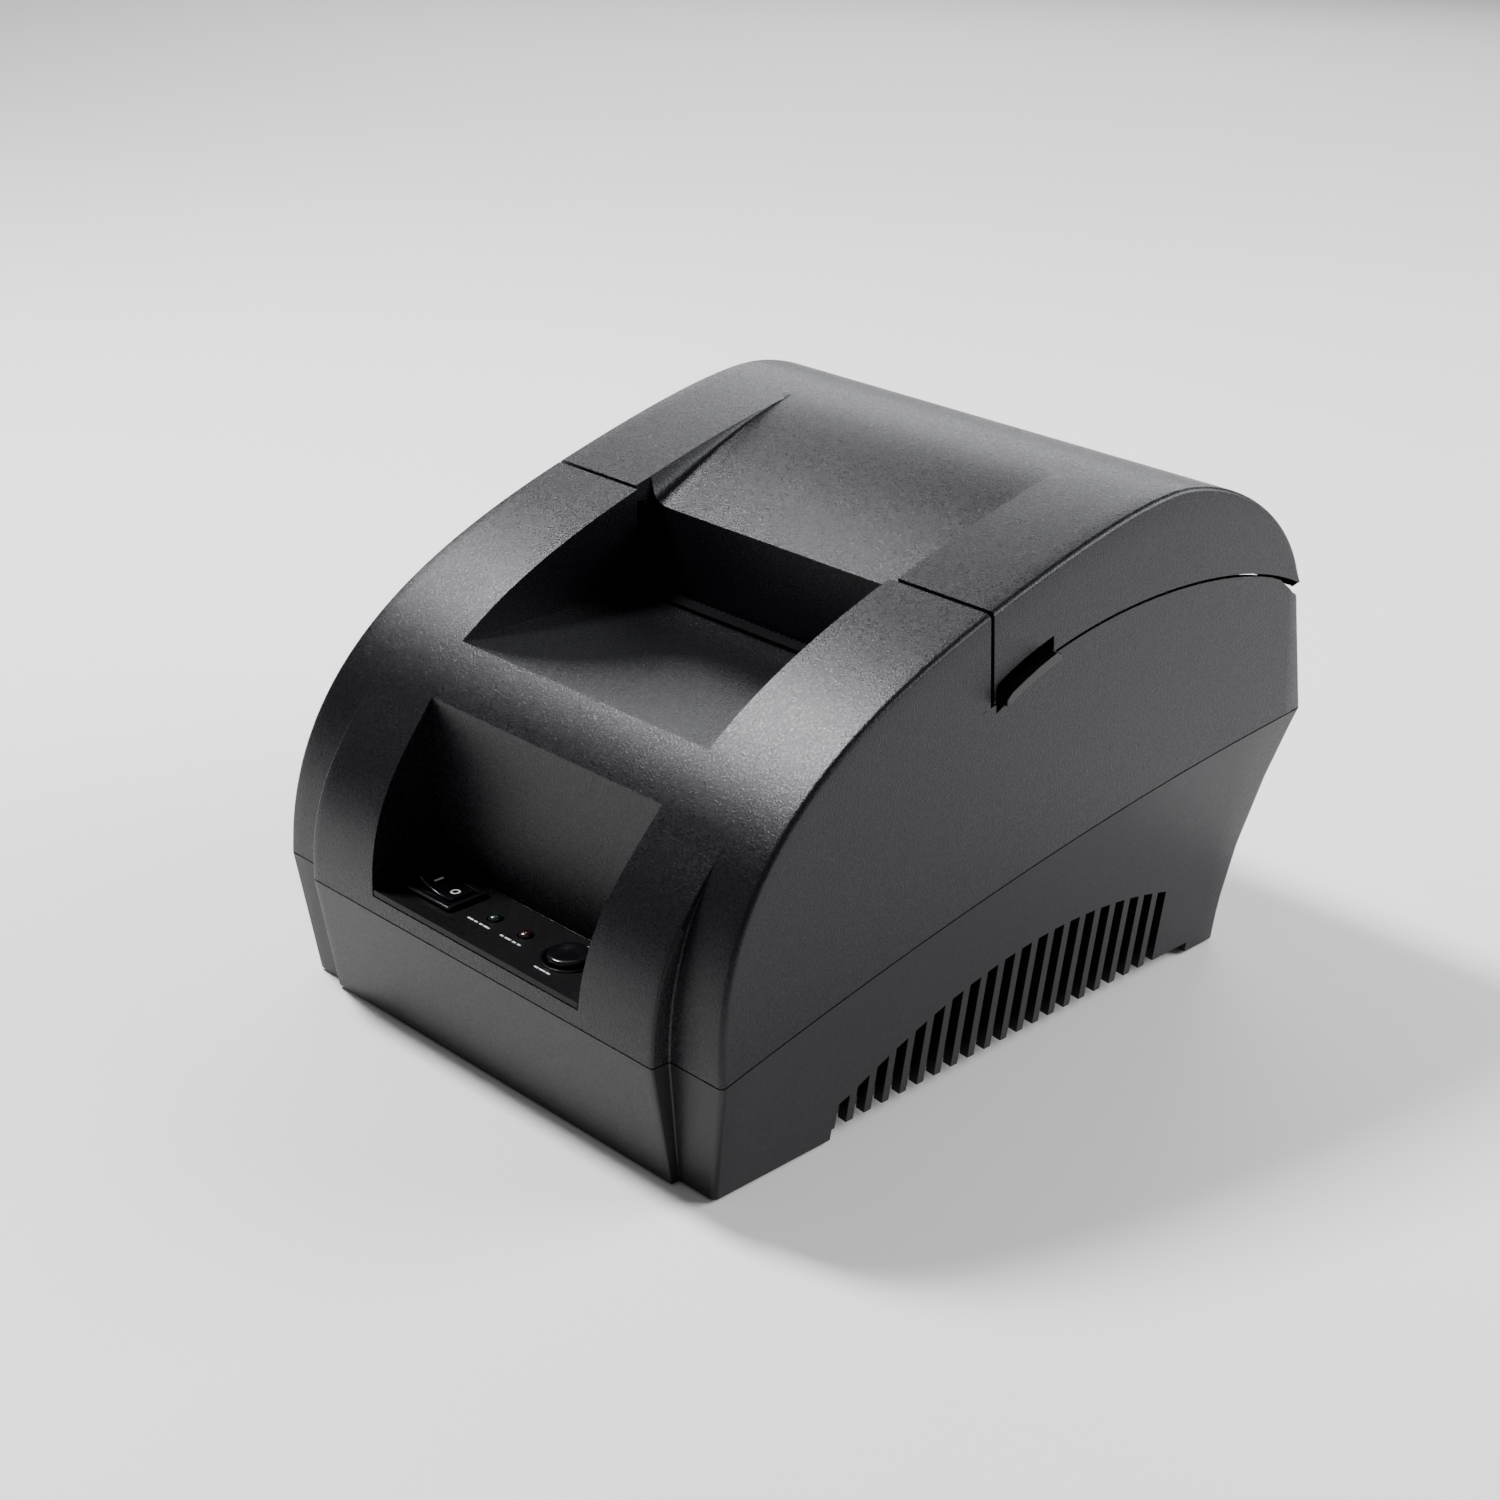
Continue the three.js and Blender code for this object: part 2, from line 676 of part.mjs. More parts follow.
function panelHoles() {
  const low = panelHeight - 12;
  const { halfLength, halfWidth } = rockerHousing;
  const x0 = rockerX - halfLength - gap;
  const x1 = rockerX + halfLength + gap;
  const y0 = controlY - halfWidth - gap;
  const y1 = controlY + halfWidth + gap;
  return [
    box(x0, x1, y0, y1, low, panelHeight + 1),
    ...ledX.map((x) => rodZ(ledRadius + gap, low, panelHeight + 1, x, controlY, 16)),
    rodZ(buttonRadius + 2 * gap, low, panelHeight + 1, buttonX, controlY),
  ];
}

function addControlPanel() {
  const space = windowSpace(-gap, panelHeight - panelPlate);
  const front = bulgeOutline(0);
  const slab = box(-far, far, -far, far, panelHeight - panelPlate, panelHeight);
  const plate = space.intersect(slab).intersect(prismX(front, -far, far).add(box(-far, far, nose.x, 0, 0, far)));
  add("control_panel", cutFrom(plate, panelHoles()), innerBlack);
  addRocker();
  addFeedButton();
}

function addRocker() {
  const { halfLength, halfWidth, flangeHalfLength, flangeHalfWidth } = rockerHousing;
  const frame = new THREE.Group();
  frame.position.set(rockerX, controlY, panelHeight);
  printer.add(frame);
  const can = box(-halfLength, halfLength, -halfWidth, halfWidth, -11.5, 1);
  const flange = box(-flangeHalfLength, flangeHalfLength, -flangeHalfWidth, flangeHalfWidth, gap, 1.2);
  const well = box(-6.1, 6.1, -3.5, 3.5, -5.6, 2);
  add("rocker_housing", can.add(flange).subtract(well), glossBlack, frame);
  const outline = [point(-5.3, 3.1), point(-4.5, -3), point(4.5, -3), point(5.3, 3.1), point(0, 2)];
  const rocker = prismY(outline, -3.1, 3.1);
  const key = add("power_rocker", rocker, glossBlack, frame);
  key.position.z = -0.6;
  key.rotation.y = THREE.MathUtils.degToRad(rockerRestTilt);
}

function addFeedButton() {
  const bottom = panelHeight - 9.4 + gap + 4.1 + buttonTravel + gap;
  const profile = [
    point(0, bottom),
    point(buttonRadius, bottom),
    point(buttonRadius, panelHeight + 1),
    point(buttonRadius - 0.5, panelHeight + 1.5),
    point(0, panelHeight + 1.5),
  ];
  const cap = solid(new THREE.LatheGeometry(profile, 28).rotateX(Math.PI / 2));
  add("feed_button", cap, glossBlack).position.set(buttonX, controlY, 0);
}

// ---- Lid ----
const armOuter = paperWidth / 2 + 1 + armThickness + 0.8;
const lipWallBottom = chuteFloor - 1.6;

function lidShell() {
  const sides = upperSides(0);
  const whole = prismX([...topPoints, point(backTop.x, 0), point(nose.x, 0)], -far, far);
  const outer = whole.intersect(sides).intersect(prismX(lidSpace(0, 0), -far, far));
  const inside = box(-far, far, lidFrontY + wall, far, -far, far);
  const hollow = prismX(innerOutline(wall), -far, far).intersect(upperSides(wall)).intersect(inside);
  const scoop = scoopCurve.getPoints(9);
  const frontFace = [point(lip.x - lipWallLean, lipWallBottom), lip];
  const removed = [
    point(lidFrontY - 5, lipWallBottom - 20),
    point(lip.x - lipWallLean, lipWallBottom - 20),
    frontFace[0],
    ...scoop,
    point(scoop[9].x, far),
    point(lidFrontY - 5, far),
  ];
  const surface = [frontFace[0], ...scoop];
  const band = [...surface, ...offset(surface, wall).reverse()];
  const half = scoopHalfWidth;
  const skin = prismX(band, -half - wall, half + wall);
  const bounds = prismX([...topPoints, point(backTop.x, 0), point(lidFrontY, 0), point(lidFrontY, lidFront.y)], -far, far);
  const cheekOutline = [
    point(lidFrontY, far),
    lidCorner,
    point(lidCorner.x + 12, lidCorner.y),
    point(scoop[9].x, scoop[9].y - wall),
    point(scoop[9].x, far),
  ];
  const cheeks = prismX(cheekOutline, half, half + wall).add(prismX(cheekOutline, -half - wall, -half));
  let body = outer.subtract(hollow).subtract(prismX(removed, -half, half));
  body = joined([body, skin.intersect(bounds), cheeks.intersect(outer), ...lidEars()]);
  body = cutFrom(body, [prismX(removed, -half, half)]);
  const tabSpace = tabOutline(6, 0.5, 0.6);
  const earBore = rodX(hingeRadius + gap, -earInner - 10, earInner + 10, hinge.x, hinge.y);
  const tabX = leverX + leverWidth - 1.5;
  return cutFrom(body, [prismX(tabSpace, tabX, far), prismX(tabSpace, -far, -tabX), earBore]);
}

function lidEars() {
  return [-1, 1].map((side) => {
    const outline = [
      ...arc(hinge.x, hinge.y, 2.9, 180, 330, 8),
      point(backTop.x - 0.6, backTop.y - 0.4),
      point(backTop.x - 1.2, backTop.y + 3),
      point(backTop.x - 6, backTop.y + 9),
      point(hinge.x - 5, backTop.y + 8),
      point(hinge.x - 2.9, hinge.y + 5),
    ];
    const x = [side * earInner, side * (earInner + earWidth)].sort((a, b) => a - b);
    return prismX(outline, x[0], x[1]);
  });
}

function lidLabel() {
  const under = offset(topPoints, wall + gap).filter((p) => p.x > crown.x - 6 && p.x < backTop.x - 16);
  return prismX([...under, ...offset(under, 0.25).reverse()], -10, scoopHalfWidth - 1);
}

// ---- Platen and gears ----
const platen = point(chuteBackY + platenRadius + 0.8, chuteFloor - 9.5);
const meshDistance = (a, b) => (gearModule * (a + b)) / 2 + gearBacklash;
const idler = point(
  platen.x - 2.8,
  platen.y - Math.sqrt(meshDistance(platenTeeth, idlerTeeth) ** 2 - 2.8 ** 2),
);
const pinion = point(
  idler.x - 0.78 * meshDistance(idlerTeeth, pinionTeeth),
  idler.y - Math.sqrt(1 - 0.78 ** 2) * meshDistance(idlerTeeth, pinionTeeth),
);
const gearX = armOuter + 0.7;
const plateX = gearX + gearWidth + 0.7; // inner face of the chassis side plates

// Gear outline in (y, z) round its own axis, with a tooth centred at the given angle.
function gearOutline(teeth, toothAngle) {
  const pitch = (gearModule * teeth) / 2;
  const root = pitch - 1.2 * gearModule;
  const tip = pitch + 0.85 * gearModule;
  const points = [];
  for (let i = 0; i < teeth; i++) {
    const middle = toothAngle + (2 * Math.PI * i) / teeth;
    const flank = [
      [root, -0.66],
      [tip, -0.26],
      [tip, 0.26],
      [root, 0.66],
    ];
    for (const [radius, share] of flank) {
      const angle = middle + (share * Math.PI) / teeth;
      points.push(point(radius * Math.cos(angle), radius * Math.sin(angle)));
    }
  }
  return points;
}

function gear(teeth, toothAngle, boreRadius, width) {
  const bore = rodX(boreRadius, -1, width + 1, 0, 0, 16);
  return prismX(gearOutline(teeth, toothAngle), 0, width).subtract(bore);
}

// Angle of the line from one axis to another, and the tooth angle that meets a known tooth there.
const angleTo = (from, to) => Math.atan2(to.y - from.y, to.x - from.x);
const toothInGap = (teeth, angle) => angle + Math.PI / teeth;

function addPlaten() {
  const half = paperWidth / 2;
  const unit = new THREE.Group();
  unit.position.set(0, platen.x, platen.y);
  printer.add(unit);
  const bore = rodX(shaftRadius + gap, -far, far, 0, 0, 16);
  add("platen_roller", rodX(platenRadius, -half, half, 0, 0, 40).subtract(bore), rubberBlack, unit);
  const shaftEnd = plateX + sheet - 0.2;
  add("platen_shaft", rodX(shaftRadius, -shaftEnd, shaftEnd, 0, 0, 16), steel, unit);
  const down = angleTo(platen, idler);
  const wheel = add("platen_gear", gear(platenTeeth, down, shaftRadius + gap, gearWidth), nylon, unit);
  wheel.position.x = gearX;
  for (const [name, side] of [
    ["platen_bush_left", -1],
    ["platen_bush_right", 1],
  ]) {
    const x = [side * (armOuter - armThickness), side * armOuter].sort((a, b) => a - b);
    const ring = rodX(2.9, x[0], x[1], 0, 0, 20);
    add(name, ring.subtract(rodX(shaftRadius + 0.1, -far, far, 0, 0, 16)), nylon, unit);
  }
}

function addGearTrain() {
  const idlerTooth = toothInGap(idlerTeeth, angleTo(idler, platen));
  const idlerWheel = add("idler_gear", gear(idlerTeeth, idlerTooth, shaftRadius + 0.15, gearWidth), nylon);
  idlerWheel.position.set(gearX, idler.x, idler.y);
  const towards = angleTo(idler, pinion);
  const step = (2 * Math.PI) / idlerTeeth;
  const phase = (towards - idlerTooth) / step;
  const idlerPhase = phase - Math.round(phase);
  const pinionTooth =
    towards + Math.PI + Math.PI / pinionTeeth + (idlerPhase * 2 * Math.PI) / pinionTeeth;
  const wheel = gear(pinionTeeth, pinionTooth, 0.6, gearWidth);
  const spindle = rodX(0.9, -6, gearWidth, 0, 0, 12);
  const pinionMesh = add("motor_pinion", wheel.add(spindle), darkSteel);
  pinionMesh.position.set(gearX, pinion.x, pinion.y);
  const motorX = bracketX - gap - 1;
  const can = rodX(motorRadius, motorX - motorLength, motorX, 0, 0, 32);
  const flange = box(motorX, motorX + 1, -motorRadius - 3, motorRadius - 1, -5, 5);
  const boss = rodX(1.3, motorX - 7, motorX + 2, 0, 0, 16);
  const motor = add("stepper_motor", can.add(flange).subtract(boss), steel);
  motor.position.set(0, pinion.x, pinion.y);
}

// ---- Print chassis: side plates, motor bracket, cross wall and floor in one casting ----
const bracketX = armOuter - 1.6;
const headY = platen.x - platenRadius - headGap;
const headPivot = point(headY - 2.6, platen.y - 7.5);
const chassisFrontY = headY - 9.4;
const chassisBackY = platen.x + 4;
const chassisFloor = pinion.y - motorRadius - 3.4;
const chassisTop = chuteFloor - wall - gap;

function printChassis() {
  const plateOutline = [
    point(chassisFrontY, chassisFloor),
    point(chassisBackY, chassisFloor),
    point(chassisBackY, platen.y + 1.5),
    point(platen.x + 3.2, platen.y + 3.5),
    point(platen.x + 2, platen.y - 1),
    ...arc(platen.x, platen.y, 2, -30, -150, 6),
    point(platen.x - 2.2, chassisTop),
    point(chassisFrontY, chassisTop),
  ];
  const right = prismX(plateOutline, plateX, plateX + sheet);
  const left = prismX(plateOutline, -plateX - sheet, -plateX);
  const reach = plateX + sheet;
  const floor = box(-reach, reach, chassisFrontY, chassisBackY, chassisFloor, chassisFloor + sheet);
  const crossBottom = pinion.y + motorRadius + 1;
  const cross = box(-reach, reach, chassisFrontY, chassisFrontY + sheet, crossBottom, chassisTop);
  const bracket = box(bracketX, bracketX + 1.4, chassisFrontY, idler.x - 1, chassisFloor, platen.y - 5.5);
  const shaftHole = rodX(2.4, bracketX - 1, bracketX + 3, pinion.x, pinion.y, 16);
  const axle = rodX(shaftRadius, gearX - 0.2, plateX + 1, idler.x, idler.y, 16);
  const pads = [-1, 1].map((side) => chassisPad(side, reach));
  return cutFrom(joined([right, left, floor, cross, bracket, axle, ...pads]), [shaftHole, ...padBores()]);
}

const padX = plateX + sheet + 4;
const padDepth = 6.4;

function chassisPad(side, reach) {
  const x = [side * (reach - 1), side * (padX + 4)].sort((a, b) => a - b);
  return box(x[0], x[1], chassisFrontY, chassisFrontY + padDepth, chassisTop - 3, chassisTop);
}

const padBores = () => [-1, 1].map((side) => rodZ(1.4, 0, chassisTop + 1, side * padX, chassisFrontY + padDepth / 2, 12));

function addChassis() {
  add("print_chassis", printChassis(), innerBlack);
  const names = ["chassis_screw_left", "chassis_screw_right"];
  [-1, 1].forEach((side, i) => {
    const head = rodZ(2.4, chassisTop - 5.2, chassisTop - 3.3, 0, 0, 16);
    const shank = rodZ(1.1, chassisTop - 4, chassisTop + wall - 0.4, 0, 0, 12);
    add(names[i], head.add(shank), steel).position.set(side * padX, chassisFrontY + padDepth / 2, 0);
  });
}

// Blind pilot holes for the chassis screws in the underside of the case.
const chassisPilots = () =>
  [-1, 1].map((side) => rodZ(1.4, chassisTop - 1, chassisTop + wall, side * padX, chassisFrontY + padDepth / 2, 12));

function addPrintHead() {
  const half = paperWidth / 2 - 1.5;
  const low = headPivot.y;
  const plate = box(-half, half, headY - 1, headY, low + 2, platen.y + 3.4);
  add("print_head", plate, finish(0x8f6f4a, 0.35));
  const sinkBack = headY - 1 - gap;
  const sink = box(-half, half, sinkBack - 2.2, sinkBack, low - 1, platen.y + 2.4);
  const pivot = rodX(1.2, -plateX + gap, bracketX - gap, headPivot.x, headPivot.y, 16);
  add("head_heatsink", sink.add(pivot), aluminium);
  const front = chassisFrontY + sheet + gap;
  const spring = rodY(2.6, front, sinkBack - 2.2 - 0.45, 0, platen.y - 1.5);
  const bore = rodY(1.7, front - 1, sinkBack, 0, platen.y - 1.5);
  add("head_spring", spring.subtract(bore), steel);
}

function tearBar() {
  const pitch = 1.5;
  const count = Math.floor((paperWidth + 1) / pitch);
  const start = (-count * pitch) / 2;
  const points = [point(start, chuteBackY - 4.4)];
  points.push(point(-start, chuteBackY - 4.4));
  for (let i = 0; i < count; i++) {
    const x = -start - i * pitch;
    points.push(point(x, chuteBackY - 1), point(x - pitch / 2, chuteBackY - 0.1));
  }
  points.push(point(start, chuteBackY - 1));
  return prismZ(points, chuteFloor + gap, chuteFloor + gap + 0.6);
}

// Arms under the lid that carry the platen, joined by a bar behind the lid's front wall.
function platenCarrier() {
  const front = lip.x + wall + gap;
  const top = lip.y - wall - 2.4;
  const inner = armOuter - armThickness;
  const armOutline = [
    ...arc(platen.x, platen.y, 4.6, 150, 390, 12),
    point(front + 4, lipWallBottom + 6),
    point(front + 3, top),
    point(front, top),
    point(front, lipWallBottom + 2),
    point(platen.x - 3.4, lipWallBottom - 1.8),
  ];
  const barBottom = platen.y + platenRadius + 6.05;
  const bar = box(-armOuter, armOuter, front, front + 2.2, barBottom, top);
  const arms = prismX(armOutline, inner, armOuter).add(prismX(armOutline, -armOuter, -inner));
  return bar.add(arms).subtract(rodX(2.9 + 0.1, -far, far, platen.x, platen.y, 20));
}

// ---- Paper bin ----
const roll = point(backY - rollSetback, caseHeight - wall - rollHeadroom - rollRadius);
const binHalf = paperWidth / 2 + rollSideClearance;
const binRadius = rollRadius + rollBinClearance;
const deckDrop = 6;
const pocketFloor = lever.y - 8;
const pocketInner = armOuter + gearWidth + 6.6;
const pocketBackY = lever.x + leverArcRadius + 3;

function paperBin() {
  const outerArc = arc(roll.x, roll.y, binRadius + sheet, 180, 360, 20);
  const innerArc = arc(roll.x, roll.y, binRadius, 360, 180, 20);
  const rim = 16;
  const troughOutline = [
    ...outerArc,
    point(roll.x + binRadius + sheet, roll.y + rim),
    point(roll.x + binRadius, roll.y + rim),
    ...innerArc,
  ];
  const reach = binHalf + sheet;
  const trough = prismX(troughOutline, -reach, reach);
  const deckLine = sideEdge
    .map((p) => point(p.x, p.y - deckDrop))
    .filter((p) => p.x > pocketBackY && p.x < backY - 16);
  const first = point(pocketBackY, heightAt(lidEdgeCurve, pocketBackY) - deckDrop);
  const line = [first, ...deckLine];
  const last = line[line.length - 1];
  const cheekOutline = [...outerArc, point(last.x, roll.y + 4), last, ...line.slice().reverse()];
  const cheeks = [-1, 1].map((side) => {
    const x = [side * binHalf, side * reach].sort((a, b) => a - b);
    return prismX(cheekOutline, x[0], x[1]);
  });
  const deckBand = [...line, ...offset(line, sheet).reverse()];
  const decks = [prismX(deckBand, binHalf, far), prismX(deckBand, -far, -binHalf)];
  const shelf = box(-far, far, roll.x + binRadius, backY - 14, roll.y + rim - sheet, roll.y + rim);
  const pockets = [-1, 1].flatMap((side) => pocket(side, first.y));
  const room = upperSides(wall + 0.5).intersect(box(-far, far, lidFrontY - lidGap + 0.6, backY - 13, 0, far));
  const hole = leverPinBore();
  return joined([trough, ...cheeks, ...decks, shelf, ...pockets]).intersect(room).subtract(hole);
}

function pocket(side, deckHeight) {
  const span = (a, b) => [side * a, side * b].sort((p, q) => p - q);
  const floor = span(pocketInner, far);
  const inner = span(pocketInner, pocketInner + 1.4);
  const back = span(binHalf, far);
  const ribs = leverRibs.map((x) => {
    const at = span(x, x + 1.2);
    return box(at[0], at[1], lever.x - 3.4, lever.x + 3.4, pocketFloor, lever.y + 3);
  });
  return [
    box(floor[0], floor[1], lidFrontY, pocketBackY + sheet, pocketFloor - sheet, pocketFloor),
    box(inner[0], inner[1], lidFrontY, pocketBackY + sheet, pocketFloor - sheet, lever.y - 3),
    box(back[0], back[1], pocketBackY, pocketBackY + sheet, pocketFloor - sheet, deckHeight),
    ...ribs,
  ];
}

const armFrontY = lidFrontY + wall + 0.6;
const leverX = pocketInner + 3.4;
const leverRibs = [pocketInner, leverX + leverWidth + 0.5];
const leverPinEnd = leverX + leverWidth + 2.6;
const leverPinBore = () => rodX(shaftRadius + gap, -far, far, lever.x, lever.y, 16);

function addLevers() {
  for (const [suffix, side] of [
    ["left", -1],
    ["right", 1],
  ]) {
    const span = (a, b) => [side * a, side * b].sort((p, q) => p - q);
    const armOutline = [
      ...arc(lever.x, lever.y - 4, leverArcRadius, 35, 125, 10),
      point(armFrontY, tabPoints[0].y + 0.5),
      point(armFrontY, tabPoints[0].y - 3.5),
      ...arc(lever.x, lever.y, 3.2, 200, 330, 6),
    ];
    const armX = span(leverX, leverX + leverWidth);
    const arm = prismX(armOutline, armX[0], armX[1]);
    const outline = [...tabPoints, ...shift(tabPoints, 0, tabThickness).reverse()];
    const reachX = upperHalfWidth(lidFrontY, lidFront.y - 15) + tabReach;
    const tabX = span(leverX + leverWidth - 1, reachX);
    const tab = prismX(outline, tabX[0], tabX[1]);
    const bore = rodX(shaftRadius + 0.1, -far, far, lever.x, lever.y, 16);
    add(`release_lever_${suffix}`, arm.add(tab).subtract(bore), glossBlack);
    const pinX = span(pocketInner - 1, leverPinEnd);
    add(`lever_pin_${suffix}`, rodX(shaftRadius, pinX[0], pinX[1], lever.x, lever.y, 16), steel);
    const springX = span(pocketInner + 1.4 + gap, leverX - gap);
    const spring = rodX(2.6, springX[0], springX[1], lever.x, lever.y, 20);
    add(`lever_spring_${suffix}`, spring.subtract(rodX(shaftRadius + gap, -far, far, lever.x, lever.y, 16)), steel);
  }
}

function addPaper() {
  const half = paperWidth / 2;
  const unit = new THREE.Group();
  unit.position.set(0, roll.x, roll.y);
  printer.add(unit);
  const paper = rodX(rollRadius, -half, half, 0, 0, 48).subtract(rodX(coreRadius + gap, -far, far, 0, 0, 32));
  add("paper_roll", paper, paperWhite, unit);
  const core = rodX(coreRadius, -half, half, 0, 0, 32).subtract(rodX(coreBore, -far, far, 0, 0, 32));
  add("paper_core", core, cardBrown, unit);
}

function addSmallParts() {
  add("hinge_rod", rodX(hingeRadius, -hingeBossOuter, hingeBossOuter, hinge.x, hinge.y, 20), darkSteel);
  const stickerY = crown.x - 3;
  const stickerZ = heightAt(lidEdgeCurve, stickerY) - deckDrop + 2 * gap;
  const sticker = rodZ(4.6, stickerZ, stickerZ + 0.2, binHalf + sheet + 8, stickerY, 28);
  add("side_sticker", sticker, paperWhite);
  const footNames = ["foot_fl", "foot_bl", "foot_fr", "foot_br"];
  const places = [-1, 1].flatMap((side) => [frontY + 30, footBack.x - 22].map((y) => [side * 42, y]));
  places.forEach(([x, y], i) => {
    add(footNames[i], rodZ(5, 0, floorHeight - gap, 0, 0, 24), rubberBlack).position.set(x, y, 0);
  });
  screwPlaces.forEach(([x, y], i) => {
    const seat = screwWellTop - wall - gap;
    const head = rodZ(2.8, seat - 2, seat, 0, 0, 20);
    const shank = rodZ(1.2, seat - 1, 34, 0, 0, 12);
    add(screwNames[i], head.add(shank), steel).position.set(x, y, 0);
  });
  const sensorY = headY - 5;
  add("paper_sensor", box(-13, -8, sensorY, sensorY + 3, chassisFloor + sheet + gap, chassisFloor + 7), innerBlack);
}

// ---- Assembly ----
add("base_case", baseCase(), texturedBlack);
add("upper_case", cutFrom(upperCase(), chassisPilots()), texturedBlack);
add("lid_shell", lidShell(), texturedBlack);
add("lid_label", lidLabel(), labelSilver);
add("platen_carrier", platenCarrier(), innerBlack);
addPlaten();
addGearTrain();
addChassis();
addPrintHead();
add("tear_bar", tearBar(), darkSteel);
add("paper_bin", paperBin(), innerBlack);
addLevers();
addPaper();
addControlPanel();
addBoards();
addSockets();
addSmallParts();

export default printer;
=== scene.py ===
import json
import math
import bpy
import bmesh
import numpy as np
from mathutils import Matrix, Vector


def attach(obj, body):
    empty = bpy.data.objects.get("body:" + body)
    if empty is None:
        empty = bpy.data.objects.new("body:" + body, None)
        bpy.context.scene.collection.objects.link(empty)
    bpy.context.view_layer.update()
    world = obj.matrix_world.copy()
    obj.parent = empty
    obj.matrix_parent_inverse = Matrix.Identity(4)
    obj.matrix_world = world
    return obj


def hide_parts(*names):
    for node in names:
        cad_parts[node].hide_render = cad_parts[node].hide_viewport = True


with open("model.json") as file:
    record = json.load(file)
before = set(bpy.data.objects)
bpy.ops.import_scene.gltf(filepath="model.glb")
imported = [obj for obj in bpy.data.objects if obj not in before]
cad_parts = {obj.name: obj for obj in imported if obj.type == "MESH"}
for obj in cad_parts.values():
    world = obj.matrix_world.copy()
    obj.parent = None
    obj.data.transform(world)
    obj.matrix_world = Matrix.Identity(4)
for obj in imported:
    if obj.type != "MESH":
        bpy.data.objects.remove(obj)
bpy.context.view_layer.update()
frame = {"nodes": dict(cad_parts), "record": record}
nodes = frame["nodes"]
print("frame loaded")

mm = 0.001

caseShape = {
    "length": 180.0, "width": 137.0, "height": 113.2, "wall": 2.2, "gap": 0.3,
    "noseHeight": 30.0, "flankSetback": 4.3, "grooveTop": 67.0,
    "seamFront": 27.4, "seamBack": 54.7, "footHalf": 62.1, "lean": 0.0703, "flare": 0.02135,
    "lidLength": 102.5, "lidGap": 1.0, "edgeRound": 1.15,
    "recessFloor": 31.3, "panelBack": -71.4, "windowFootHalf": 31.8, "bridge": 9.0, "chuteHalf": 36.7,
    "sillBack": -10.6, "scoopHalf": 38.2, "scoopLength": 46.3,
}
wall, gap = caseShape["wall"], caseShape["gap"]
seamFront, seamBack = caseShape["seamFront"], caseShape["seamBack"]
noseHeight, grooveTop = caseShape["noseHeight"], caseShape["grooveTop"]
scoopLength = caseShape["scoopLength"]
frontY = -caseShape["length"] / 2
backY = caseShape["length"] / 2
topZ = caseShape["height"]
lidFrontY = backY - caseShape["lidLength"]
noseY = frontY + caseShape["flankSetback"]
lidFrontZ = topZ - 12.2
crownY = backY - 46.0
backTopY, backTopZ = backY - 3.1, topZ - 29.8
lipY, lipZ = lidFrontY + 4.4, lidFrontZ - 4.6
hingeY, hingeZ = backY - 7.0, topZ - 37.0


# A Bezier curve: control points weighted by the binomial terms of t.
def bezier(points, t):
    t = np.asarray(t, float)
    n = len(points) - 1
    terms = [math.comb(n, k) * (1 - t) ** (n - k) * t ** k for k in range(n + 1)]
    return sum(w[..., None] * np.asarray(p, float) for w, p in zip(terms, points))


frontControls = [
    (noseY, noseHeight), (noseY, noseHeight + 0.585 * (lidFrontZ - noseHeight)),
    (lidFrontY - 0.535 * (lidFrontY - noseY), lidFrontZ - 0.165 * (lidFrontY - noseY)),
    (lidFrontY, lidFrontZ),
]
lidControls = [
    (lidFrontY, lidFrontZ),
    (lidFrontY + 0.31 * (crownY - lidFrontY), lidFrontZ + 0.095 * (crownY - lidFrontY)),
    (crownY - 0.25 * (crownY - lidFrontY), topZ), (crownY, topZ),
]
backControls = [
    (crownY, topZ), (crownY + 0.37 * (backTopY - crownY), topZ),
    (backTopY - 0.055 * (backTopY - crownY), backTopZ + 0.63 * 29.8), (backTopY, backTopZ),
]
seamControls = [(noseY, seamFront), (noseY + 0.52 * 180.0, seamFront + 0.83 * 27.3), (backY, seamBack)]
baseBackControls = [
    (backY, seamBack), (backY - 0.72 * 15.6, 0.66 * seamBack), (74.4 - 0.06 * 15.6, 0.33 * seamBack), (74.4, 0.5),
]
lidEdgeControls = [
    (lidFrontY, topZ - 30.7), (lidFrontY + 24.5, topZ - 17.9),
    (backY - 28.0, topZ - 16.2), (backTopY, topZ - 29.3),
]
scoopControls = [
    (lipY, lipZ), (lipY + 0.35 * scoopLength, lipZ + 7.5),
    (lipY + 0.7 * scoopLength, topZ - 1.4), (lipY + scoopLength, 112.89),
]
dense = np.linspace(0, 1, 2001)
frontDense = bezier(frontControls, dense)
lidDense = bezier(lidControls, dense)
seamDense = bezier(seamControls, dense)
baseBackDense = bezier(baseBackControls, dense)
lidEdgeDense = bezier(lidEdgeControls, dense)
scoopDense = bezier(scoopControls, dense)

windowTopZ = float(np.interp(caseShape["panelBack"], frontDense[:, 0], frontDense[:, 1]))
chuteZ = windowTopZ + caseShape["bridge"]
grooveY = float(np.interp(caseShape["grooveTop"], frontDense[:, 1], frontDense[:, 0]))
bulgeControls = [
    (frontY, noseHeight), (frontY, noseHeight + 0.5 * (grooveTop - noseHeight)),
    (grooveY - 8.4, 57.0), (grooveY, grooveTop),
]
bulgeDense = bezier(bulgeControls, dense)


# Height of the seam at a place: read off its curve.
def seamAt(y):
    return np.interp(y, seamDense[:, 0], seamDense[:, 1])


# Height of the lid's lower side edge at a place: read off its curve.
def lidEdgeAt(y):
    return np.interp(y, lidEdgeDense[:, 0], lidEdgeDense[:, 1])


# Half width above the seam: a plane that leans in with height and out with length.
def upperHalf(y, z):
    return caseShape["width"] / 2 - caseShape["lean"] * (z - seamBack) + caseShape["flare"] * (y - backY)


